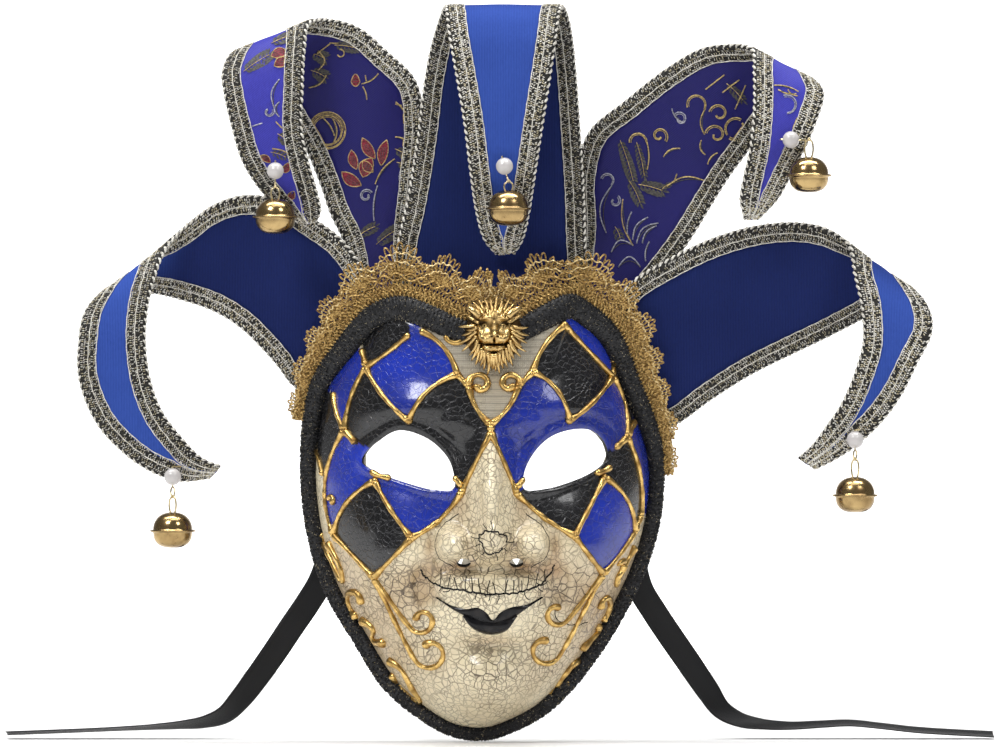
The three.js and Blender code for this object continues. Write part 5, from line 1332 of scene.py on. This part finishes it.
# Threads seen from the front, in mm across and up, on the standing part and past the fold: stems from end
# to end with a bend, curls by middle, two radii and two angles, petals and leaves from base to tip with a
# width.
SEEN = {
    ("upper_right", False): {
        "gold": [
            (99.4, 172.8, 4.2, 4.8, 200, -30), (104, 171, 103.5, 158.6, -2.2),
            (110.4, 168.6, 4.8, 1.8, 170, -150), (109, 158.4, 5.4, 1.2, 170, -190),
            (102, 156, 104, 149, -1.6), (105, 144.5, 109.7, 150, 1.0), (104, 180, 113, 187, 0),
            (118, 170.6, 123, 182, 0), (112, 178.5, 120, 184.6, 0),
            (71.8, 155, 4.0, 4.4, 185, 0), (76.2, 155, 76.3, 142, 0.9), (85.6, 134, 103.5, 136.7, 3.2),
            (89, 136, 90.4, 140, 0), (64.8, 128, 69.7, 106, -2.6), (117.6, 161, 5.0, 5.0, -120, 40),
            (118.4, 161.4, 5.2, 5.2, 60, 215), (82, 158, 4.4, 1.2, -40, 330), (84, 148, 92, 152, 1.6),
        ],
        "silver": [
            (57.3, 137, 3.0, 3.2, 165, -50), (59.6, 134.4, 57, 112, -4.4), (61, 127, 3.0, 1.2, 60, -230),
            (67, 111.5, 69, 122, 1.0), (69.5, 108.8, 76.7, 119.4, 2.4), (71.3, 107, 81.7, 116.6, 3.2),
            (74, 107, 80.8, 115.4, 2.0), (75.6, 98.5, 77.4, 108, 1.0), (59.3, 102.8, 69.7, 106, 4.2),
            (62.6, 95.7, 73.2, 95.7, 5.0), (92, 166, 3.6, 1.2, 150, -200), (88, 171, 94, 164, -1.4),
        ],
        "leaf": [
            (63.5, 156, 69.7, 136.6, 5), (71.3, 155, 75, 139, 3.7), (72, 135, 83.6, 132, 6),
            (61, 115, 63.5, 109.6, 4.2), (83.5, 132.8, 87, 135, 2.5), (67.8, 136.7, 73, 126.3, 5),
            (114, 182.8, 121.7, 175, 4.2),
        ],
    },
    ("upper_right", True): {
        "gold": [(135.6, 181, 147, 178, 1), (137.4, 179, 146, 177, -1), (142, 179, 146.6, 176, -1),
                 (150, 160, 4.0, 1.2, 120, -260)],
        "silver": [(141.5, 171.8, 4.6, 4.2, 110, -90), (152, 146, 3.4, 1.2, 60, -260)],
    },
    ("upper_left", False): {
        "gold": [
            (-51, 187.5, -59, 182.6, 1), (-56.7, 183.6, -57.2, 186.7, 0), (-58.4, 181.3, -56.5, 175, 0.5),
            (-42.8, 174, -36.7, 163.5, 1.4), (-43, 173, -40, 172.3, 0), (-79.7, 198.3, -79.7, 189, 3.2),
            (-75.7, 186.7, -84, 180.8, 1.6), (-69, 197, 2.0, 1.4, 100, -160), (-83, 201, -70, 201.8, 0.4),
            (-43.2, 147, -52.5, 135, -1.5), (-43, 157.4, -35.2, 152.4, 1.5), (-75.3, 160.5, 8.8, 8.8, 0, 360),
            (-75.3, 160.5, 7.2, 7.2, 0, 360), (-72.6, 166, -72.6, 154, 2), (-78, 167, -71.8, 158, 1),
        ],
        "silver": [
            (-53, 117.6, -51.4, 134.3, 1), (-56.8, 129.4, 3.4, 1.2, 30, 400), (-41.4, 139, -40, 137, 0),
            (-40, 137, -38.2, 140.5, 0),
        ],
        "red": [
            (-59, 134.3, -68.4, 140.8, 5.5), (-61.3, 142, -63.8, 151.2, 4.4), (-58.3, 138.3, -54, 147.4, 6.7),
            (-52.5, 147, -58.6, 157, 4.9), (-49.7, 143.7, -47, 156, 4.9), (-64, 183.6, -59.7, 183.6, 5.9),
            (-53.5, 140.7, -58.3, 146.2, 4.2),
        ],
        "leaf": [
            (-60.6, 110.3, -52.5, 115, 4.7), (-52, 106.4, -42.2, 113.5, 5.9), (-43.2, 151.8, -35.2, 147, 5),
            (-42.4, 145.4, -36.8, 143, 4.2), (-83, 197, -76.5, 194.7, 5.9), (-83, 189, -76.5, 186, 5.9),
            (-71.8, 201, -61.4, 199.5, 5),
        ],
    },
    ("upper_left", True): {
        "gold": [(-100.4, 151, -92.4, 148.5, 0.6), (-98.8, 163.7, -95.6, 160.5, 0)],
        "silver": [(-97, 183.7, -99.4, 170, -2.6), (-102, 168.4, 2.8, 1.2, 30, -250),
                   (-97, 173, -97, 166, -2.4), (-109.7, 161.5, -105, 163, 0)],
        "red": [(-106, 147.8, -101.2, 144.5, 3), (-95.6, 142.3, -92.4, 140.7, 5),
                (-101.2, 194.7, -93.2, 197, 5), (-99.6, 190, -92.4, 193, 5), (-93.2, 129.6, -90, 128, 4.2)],
        "leaf": [(-114, 187.5, -102, 195.5, 5.9), (-101.2, 201, -90.8, 205, 5), (-98, 158, -94, 155, 5),
                 (-101.2, 149.4, -94, 147, 3.4)],
    },
}
# Threads of the brocade in mm: height over the middle of the cloth, and radius; then points to a curl.
THREAD_LIFT = 1.28
THREAD = 0.32
CURL_POINTS = 26
# Sections of a brocade horn: its standing part, the part past the fold, and the fold on the back.
STANDING = slice(0, 150)
PAST_FOLD = slice(192, None)
FOLD = [130, 205]


def cloth_front(horn, folded):
    """Places on the side of the cloth that is seen from the front: of its standing part, or past the fold."""
    rows = PAST_FOLD if folded else STANDING
    f = np.linspace(0, 1, 31)[None, :, None]
    flat = horn.edge(0, 1.0)[rows, None] * (1 - f) + horn.edge(1, 1.0)[rows, None] * f
    way = -np.sign(horn.through[rows, 1])
    spots = (flat + (horn.through[rows] * way[:, None] * THREAD_LIFT)[:, None]).reshape(-1, 3)

    def place(flat):
        flat = np.asarray(flat)
        gap = np.linalg.norm(spots[None, :, ::2] - flat[:, None], axis=2)
        near = spots[gap.argmin(axis=1)]
        kept = gap.min(axis=1) < 0.9
        return np.stack([np.where(kept, flat[:, 0], near[:, 0]), near[:, 1],
                         np.where(kept, flat[:, 1], near[:, 2])], axis=1)

    return place


def stem(x0, z0, x1, z1, bend):
    """Bent line from end to end."""
    t = np.linspace(0, 1, 14)[:, None]
    run = np.array((x1 - x0, z1 - z0))
    side = np.array((-run[1], run[0])) / np.linalg.norm(run)
    return np.array((x0, z0)) + run * t + side * bend * np.sin(math.pi * t)


def frond(x0, z0, x1, z1, width):
    """Leaflets in pairs along a vein, each as two edges."""
    run = math.hypot(x1 - x0, z1 - z0)
    heading = math.degrees(math.atan2(z1 - z0, x1 - x0))
    count = max(3, round(run / 1.9))
    made = [leaf(0.3 * run, 0.09 * run, heading, x1, z1)]
    for k in range(count):
        t = (k + 0.6) / count
        size = width * (0.35 + 0.5 * math.sin(math.pi * (0.1 + 0.75 * t)))
        x, z = x0 + (x1 - x0) * t, z0 + (z1 - z0) * t
        made += [leaf(size, 0.36 * size, heading + way * 42, x, z, way * 0.1 * size) for way in (-1, 1)]
    return made


def petal(x0, z0, x1, z1, width):
    """Two edges of a petal from base to tip."""
    heading = math.degrees(math.atan2(z1 - z0, x1 - x0))
    return leaf(math.hypot(x1 - x0, z1 - z0), width, heading, x0, z0, 0.12 * width)


def seen_threads(tint, row, place):
    """Threads of one row of SEEN, each with its own tint."""
    made = []
    if tint == "leaf":
        made += [(tint, blade(edges, place)) for edges in frond(*row)]
        made.append(("gold", thread(stem(*row[:4], 0.4), place, 0.18)))
    elif tint == "red":
        left, right = petal(*row)
        made.append((tint, blade((left, right), place)))
        made.append(("gold", thread(np.vstack([left, right[::-1]]), place, 0.22)))
        veins = [(left + (right - left) * share)[1:6] for share in (0.3, 0.5, 0.7)]
        made += [("leaf", thread(vein, place, 0.16)) for vein in veins]
    elif len(row) == 5:
        made.append((tint, thread(stem(*row), place, THREAD)))
        if abs(row[4]) > 0.8:
            made.append(("leaf", thread(stem(*row[:4], row[4] * 0.6), place, 0.2)))
    else:
        x, z, r0, r1, a0, a1 = row
        made.append((tint, thread(spiral(*row, CURL_POINTS), place, THREAD)))
        if r0 > 2.5:
            within = spiral(x, z, r0 - 0.9, max(r1 - 0.5, 0.5), a0, a1, CURL_POINTS)
            made.append((tint, thread(within, place, 0.18)))
    return made


def cloth_back(horn, along, over, turn):
    """Places on the back of the cloth, round a place given by length along and mm off the middle."""
    way = np.sign(np.interp(along, horn.length, horn.through[:, 1])) * THREAD_LIFT

    def place(flat):
        flat = np.asarray(flat) @ turned(turn) + (along, over)
        room = np.maximum(horn.half(flat[:, 0]) - 0.3, 0.2)
        side = np.clip(flat[:, 1], -room, room) + horn.offset(flat[:, 0])
        return horn.at(np.clip(flat[:, 0], 1, horn.length[-1] - 1), side, way + 0 * side)

    return place


def brocade(name, horn):
    """Woven flowers and scrolls as thin raised threads on both faces of the cloth."""
    made = []
    for folded in (False, True):
        place = cloth_front(horn, folded)
        for tint, rows in SEEN[name, folded].items():
            for row in rows:
                made += seen_threads(tint, row, place)
    blades, lines = brocade_motifs()
    fold_start, fold_end = horn.length[FOLD]
    for kind, along, over, turn in WOVEN[name]:
        if fold_start < along < fold_end:
            continue
        place = cloth_back(horn, along, over, turn)
        made += [(tint, blade(edges, place)) for tint, edges in blades[kind]]
        made += [(tint, thread(route, place, THREAD)) for tint, route in lines[kind]]
    threads = {"red": THREAD_RED, "gold": THREAD_GOLD, "silver": THREAD_SILVER, "leaf": THREAD_OLIVE}
    for tint, material in threads.items():
        shapes = [shape for own, shape in made if own == tint]
        if shapes:
            piece("brocade_" + name + "_" + tint, *join(shapes), material, "brocade")


for horn_name, horn_shape in SHAPES.items():
    fancy = horn_name.startswith("upper")
    horn_cloth(horn_name, horn_shape, BROCADE if fancy else BLUE_CLOTH, "brocade" if fancy else "blue_cloth")
    horn_braid(horn_name, horn_shape)
    if fancy:
        brocade(horn_name, horn_shape)


def lathe(profile, count):
    """Points of a round piece about Z from radius and height pairs."""
    turn = circle(count)
    rings = [np.stack([r * np.cos(turn), r * np.sin(turn), 0 * turn + h], axis=1) for r, h in profile]
    return np.vstack(rings), grid_faces(len(rings), count, wrap_cols=True)


# Jingle bells in mm: share out of round, crown, the slot's half width, half length and top, and the hollow's
# size as a share.
OUT_OF_ROUND = 0.00048
BELL_CROWN = 8.78
SLOT_HALF_WIDTH = 1.1
SLOT_HALF_LENGTH = 6.9
SLOT_TOP = -3.5
BELL_HOLLOW = 0.91
# Wire loop over a bell: foot over the bell's middle, rise over the hinge, half width, and the wire's radius.
LOOP_FOOT = 7.6
LOOP_RISE = 1.1
LOOP_HALF_WIDTH = 2.0
LOOP_WIRE = 0.42
PEARL_RADIUS = 4.0
PEARL_BORE = 0.75


def bell_profile():
    """Two pressed domes with a rolled seam, as radius and height from the slot up to the loop."""
    radius = 9.2
    outer = []
    for k in range(19):
        a = math.radians(-86 + 82 * k / 18)
        outer.append((radius * math.cos(a) ** 0.72, -0.55 - 7.4 * abs(math.sin(a)) ** 0.85))
    outer += [(9.3, -0.5), (10.4, -0.5), (10.65, -0.2), (10.65, 0.2), (10.4, 0.5), (9.3, 0.5)]
    for k in range(19):
        a = math.radians(4 + 84 * k / 18)
        outer.append((radius * math.cos(a) ** 0.85, 0.55 + 8.2 * math.sin(a) ** 0.95))
    return outer


def bell(name, row):
    """Hollow brass bell with a slot below, and the wire loop that hangs it from its pin."""
    _, y, _, hinge_x, hinge_z, bell_z, turn = row
    count = 48
    verts, faces = lathe(bell_profile(), count)
    verts[:, 0] *= 1 - OUT_OF_ROUND * np.cos(2 * np.arctan2(verts[:, 1], verts[:, 0]))
    cap = len(verts)
    verts = np.vstack([verts, [(0, 0, BELL_CROWN)]])
    top = cap - count
    faces += [[top + k, top + (k + 1) % count, cap] for k in range(count)]
    slotted = []
    for f in faces:
        along, over, up = verts[f].mean(axis=0)
        if up >= SLOT_TOP or abs(over) >= SLOT_HALF_WIDTH or abs(along) >= SLOT_HALF_LENGTH:
            slotted.append(f)
    both = np.vstack([verts, verts * BELL_HOLLOW])
    slotted += [[k + len(verts) for k in reversed(f)] for f in slotted]
    spin = np.eye(3)
    spin[:2, :2] = turned(-turn)
    centre = np.array((hinge_x, y, bell_z))
    body = "bell_" + name
    piece("jingle_" + name, both @ spin + centre, slotted, BRASS, "brass", body, node=body)
    t = np.linspace(0, 2 * math.pi, 40)
    high = hinge_z + LOOP_RISE - bell_z
    up = (LOOP_FOOT + high) / 2 - (high - LOOP_FOOT) / 2 * np.cos(t)
    ring = np.stack([LOOP_HALF_WIDTH * np.sin(t), 0 * t, up], axis=1)
    ring[:, 0] *= np.clip((high - ring[:, 2]) / 1.6, 0.55, 1.0)
    piece("loop_" + name, *tubes([ring @ spin + centre], LOOP_WIRE, 8), WIRE, "wire", body)


def pearl(name, row):
    """Bored pearl, its hole along the line to the hinge."""
    x, y, z, hinge_x, hinge_z, _, _ = row
    profile = []
    for k in range(25):
        a = math.radians(-84 + 168 * k / 24)
        profile.append((PEARL_RADIUS * math.cos(a), PEARL_RADIUS * math.sin(a)))
    sunk = abs(profile[0][1]) - 0.35
    profile = [(PEARL_BORE, -sunk)] + profile + [(PEARL_BORE, sunk)]
    verts, faces = lathe(profile, 40)
    link = unit(np.array((hinge_x - x, 0.0, hinge_z - z)))
    side = np.array((0.0, 1.0, 0.0))
    third = np.cross(side, link)
    verts = verts @ np.stack([third, side, link]) + (x, y, z)
    piece("bead_" + name, verts, faces, PEARL, "pearl", node="pearl_" + name)


for bell_name, bell_row in BELLS.items():
    bell(bell_name, bell_row)
    pearl(bell_name, bell_row)
    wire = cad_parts["pin_" + bell_name]
    wire.data.materials.clear()
    wire.data.materials.append(WIRE)
    wire.data.polygons.foreach_set("use_smooth", [True] * len(wire.data.polygons))


# Place of the lion head in mm, rows of its mane (count, share of the start and end, thickness, height of the
# tips), and forms of its face (x, z, half width, half height, rise).
LION = np.array((3.7, -46.8, 64.0))
LION_MANE = [(34, 0.58, 1.0, 1.15, 1.6), (28, 0.54, 0.84, 1.05, 3.4)]
LION_FORMS = [
    (0.2, 9.2, 4.62, 3.52, 1.6), (-4.8, 7.3, 2.64, 1.1, 1.7), (5.1, 7.3, 2.64, 1.1, 1.7),
    (-4.4, 4, 2.09, 1.65, -1.9), (4.7, 4, 2.09, 1.65, -1.9), (-4.4, 3.9, 1.1, 0.88, 1.9),
    (4.7, 3.9, 1.1, 0.88, 1.9), (-4.4, 3.7, 0.39, 0.39, -1.5), (4.7, 3.7, 0.39, 0.39, -1.5),
    (0.3, 4, 1.43, 4.18, 2.1), (0.4, -0.7, 2.42, 1.54, 2.2), (-0.7, -1.3, 0.55, 0.44, -1.3),
    (1.7, -1.3, 0.55, 0.44, -1.3), (-3.7, -2.6, 2.64, 2.09, 2.7), (4, -2.6, 2.64, 2.09, 2.7),
    (0.2, -3.1, 0.44, 1.76, -1.4), (0.2, -5.2, 4.6, 0.5, -1.7), (0.3, -6.9, 4.84, 1.32, 1.9),
    (-1.8, -6.6, 0.66, 0.55, -1), (2.2, -6.6, 0.66, 0.55, -1), (0.2, -8.8, 2.8, 0.5, -1.1),
    (0, -10.6, 2.64, 1.76, 2.2), (-6.8, 0.7, 1.32, 2.86, 1.2), (7, 0.7, 1.32, 2.86, 1.2),
    (0.2, 6.8, 0.44, 1.32, -0.9), (-6.4, -6.2, 1.1, 2.64, -1), (6.6, -6.2, 1.1, 2.64, -1),
]


def lock(start, end, thick, bend, high):
    """Tapered curl of mane between two places on the medallion's front."""
    t = np.linspace(0, 1, 9)
    start, end = np.array(start, float), np.array(end, float)
    side = np.array((-(end - start)[1], (end - start)[0])) / np.linalg.norm(end - start)
    flat = start + (end - start) * t[:, None] + side * (bend * np.sin(math.pi * t))[:, None]
    rise = high[0] + (high[1] - high[0]) * t + 0.7 * np.sin(math.pi * t)
    points = np.stack([flat[:, 0], -rise, flat[:, 1]], axis=1)
    return tubes([points], thick * np.maximum((1 - t) ** 0.55, 0.12) * (0.75 + 0.5 * t), 6)


def lion():
    """Lion head medallion: a dished plate, two rows of flame locks, ears, beard and a modelled face."""
    turn = circle(72)
    plate = [np.stack([13.4 * f * np.cos(turn), 0 * turn - h, 13.8 * f * np.sin(turn)], axis=1)
             for f, h in ((0.05, 3.4), (0.5, 3.2), (0.8, 2.4), (1.0, 1.0), (1.0, -0.4), (0.05, -0.4))]
    piece("lion_plate", np.vstack(plate) + LION, tube_faces(len(plate), len(turn)), RECESS, "brass")

    locks = []
    for row, (count, inner, outer, thick, low) in enumerate(LION_MANE):
        for k in range(count):
            a = 2 * math.pi * (k + 0.5 * row) / count
            up = math.sin(a)
            ragged = 1 + rng.uniform(-0.07, 0.07) + (0.04 if k % 3 == 0 else 0)
            far = 15.6 * outer * ragged + (0.9 if up < -0.6 or up > 0.75 else 0)
            start = (15.2 * inner * math.cos(a), 17.5 * inner * math.sin(a))
            curl = 0.12 * math.cos(a) * (1 if up < 0.4 else -0.5)
            narrow = 1 - 0.34 * max(-up, 0)
            droop = 3.4 * max(1 - abs(up + 0.25), 0)
            end = (far * narrow * math.cos(a - curl), far * 1.04 * math.sin(a - curl) - droop)
            locks.append(lock(start, end, thick, rng.uniform(-0.5, 0.5) - curl * 5, (low + 3.4, low)))
    for way in (-1, 1):
        for width in (2.5, 1.0):
            high = (6.9 + 0.3 * width, 5.8)
            locks.append(lock((way * 6.6, 8.0), (way * 13.0, 12.4), width, way * 0.6, high))
        for k in range(4):
            root = (way * (1.0 + 0.9 * k), -9.6 + 0.9 * k)
            tip = (way * (1.1 + 1.2 * k), -15.6 + 1.1 * k)
            locks.append(lock(root, tip, 0.8, way * 0.6, (6.2, 3.4)))
    locks.append(lock((0, -9.6), (0, -16.6), 1.0, 0, (6.6, 3.4)))
    verts, faces = join(locks)
    piece("lion_mane", verts + LION, faces, MEDALLION, "brass")

    turns, rings = 144, 64
    a = circle(turns)
    f = np.linspace(0, 1, rings + 1)[1:]
    x = np.append(0.0, (f[:, None] * 8.8 * np.cos(a)[None]).ravel())
    z = np.append(0.0, (f[:, None] * (12.2 - 0.4 * np.sin(a))[None] * np.sin(a)[None]).ravel())
    share = np.append(0.0, np.repeat(f, turns))
    high = 3.4 + 3.4 * np.sqrt(np.maximum(1 - share ** 3, 0))
    high = high + sum(rise * np.exp(-((x - kx) / wide) ** 2 - ((z - kz) / tall) ** 2)
                      for kx, kz, wide, tall, rise in LION_FORMS)
    high = np.clip(high, 2.6, 11.2)
    faces = [[0, 1 + k, 1 + (k + 1) % turns] for k in range(turns)]
    faces += grid_faces(rings, turns, wrap_cols=True, start=1)
    verts = np.stack([x, -high, z], axis=1) + LION
    obj = piece("lion_face", verts, faces, MEDALLION, "brass", node="medallion")
    grid = high[1:].reshape(rings, turns)
    soft = grid.copy()
    for _ in range(3):
        tall = np.pad(soft, ((3, 3), (0, 0)), mode="edge")
        soft = (soft + np.roll(soft, 3, 1) + np.roll(soft, -3, 1) + tall[:-6] + tall[6:]) / 5
    put_attribute(obj, "hollow", np.append(0.0, np.clip((soft - grid) * 2.6, 0, 1).ravel()))


lion()


# Plain pale floor, and a glowing sheet that sweeps up far behind it, in soft studio light. Sizes in metres.
STAGE_REACH = 4.0
FLOOR_END = 0.7
SWEEP_START = 6.0
SWEEP_RADIUS = 0.6
SWEEP_TOP = 3.0


def stage(name, profile, glow):
    """Sheet along a profile of y and z places, as wide as the stage."""
    s = Shader("pale_" + name, Roughness=0.75, Emission_Color=rgb(1.0, 1.0, 1.0), Emission_Strength=glow)
    s.colour(s.mix(s.ramp(s.noise(3.0), 0.3, 0.7), rgb(0.90, 0.90, 0.90), rgb(0.93, 0.93, 0.93)))
    verts = []
    for y, z in profile:
        verts += [(-STAGE_REACH, y, z), (STAGE_REACH, y, z)]
    faces = [[2 * k, 2 * k + 1, 2 * k + 3, 2 * k + 2] for k in range(len(profile) - 1)]
    mesh = bpy.data.meshes.new(name)
    mesh.from_pydata(verts, [], faces)
    mesh.polygons.foreach_set("use_smooth", [True] * len(mesh.polygons))
    mesh.materials.append(s.material)
    made = bpy.data.objects.new(name, mesh)
    bpy.context.scene.collection.objects.link(made)


sweep = [(FLOOR_END, FLOOR_Z)]
for step in range(13):
    angle = math.radians(90 * step / 12)
    y = SWEEP_START + SWEEP_RADIUS * math.sin(angle)
    sweep.append((y, FLOOR_Z + SWEEP_RADIUS * (1 - math.cos(angle))))
sweep.append((SWEEP_START + SWEEP_RADIUS, SWEEP_TOP))
stage("floor", [(-STAGE_REACH, FLOOR_Z), (FLOOR_END, FLOOR_Z)], 0.0)
stage("backdrop", sweep, 0.9)


def softbox(name, place, target, wide, tall, power):
    data = bpy.data.lights.new(name, "AREA")
    data.shape = "RECTANGLE"
    data.size = wide
    data.size_y = tall
    data.energy = power
    lamp = bpy.data.objects.new(name, data)
    lamp.location = place
    lamp.rotation_euler = (Vector(target) - Vector(place)).to_track_quat("-Z", "Y").to_euler()
    bpy.context.scene.collection.objects.link(lamp)


softbox("key", (-0.95, -1.25, 1.5), (0, 0, 0.03), 0.55, 0.6, 22)
softbox("fill", (1.0, -1.3, 1.3), (0, 0, 0.03), 0.55, 0.6, 8.5)
softbox("top", (0.1, -0.5, 1.7), (0, 0, 0.05), 1.2, 0.5, 6)
softbox("sweep", (0.0, 0.05, 2.0), (0, 0.9, 0.2), 2.6, 0.4, 56)

world = bpy.data.worlds.new("studio")
world.use_nodes = True
world.node_tree.nodes["Background"].inputs[0].default_value = (1.0, 1.0, 1.0, 1.0)
world.node_tree.nodes["Background"].inputs[1].default_value = 0.2
bpy.context.scene.world = world
bpy.context.scene.view_settings.view_transform = "Standard"
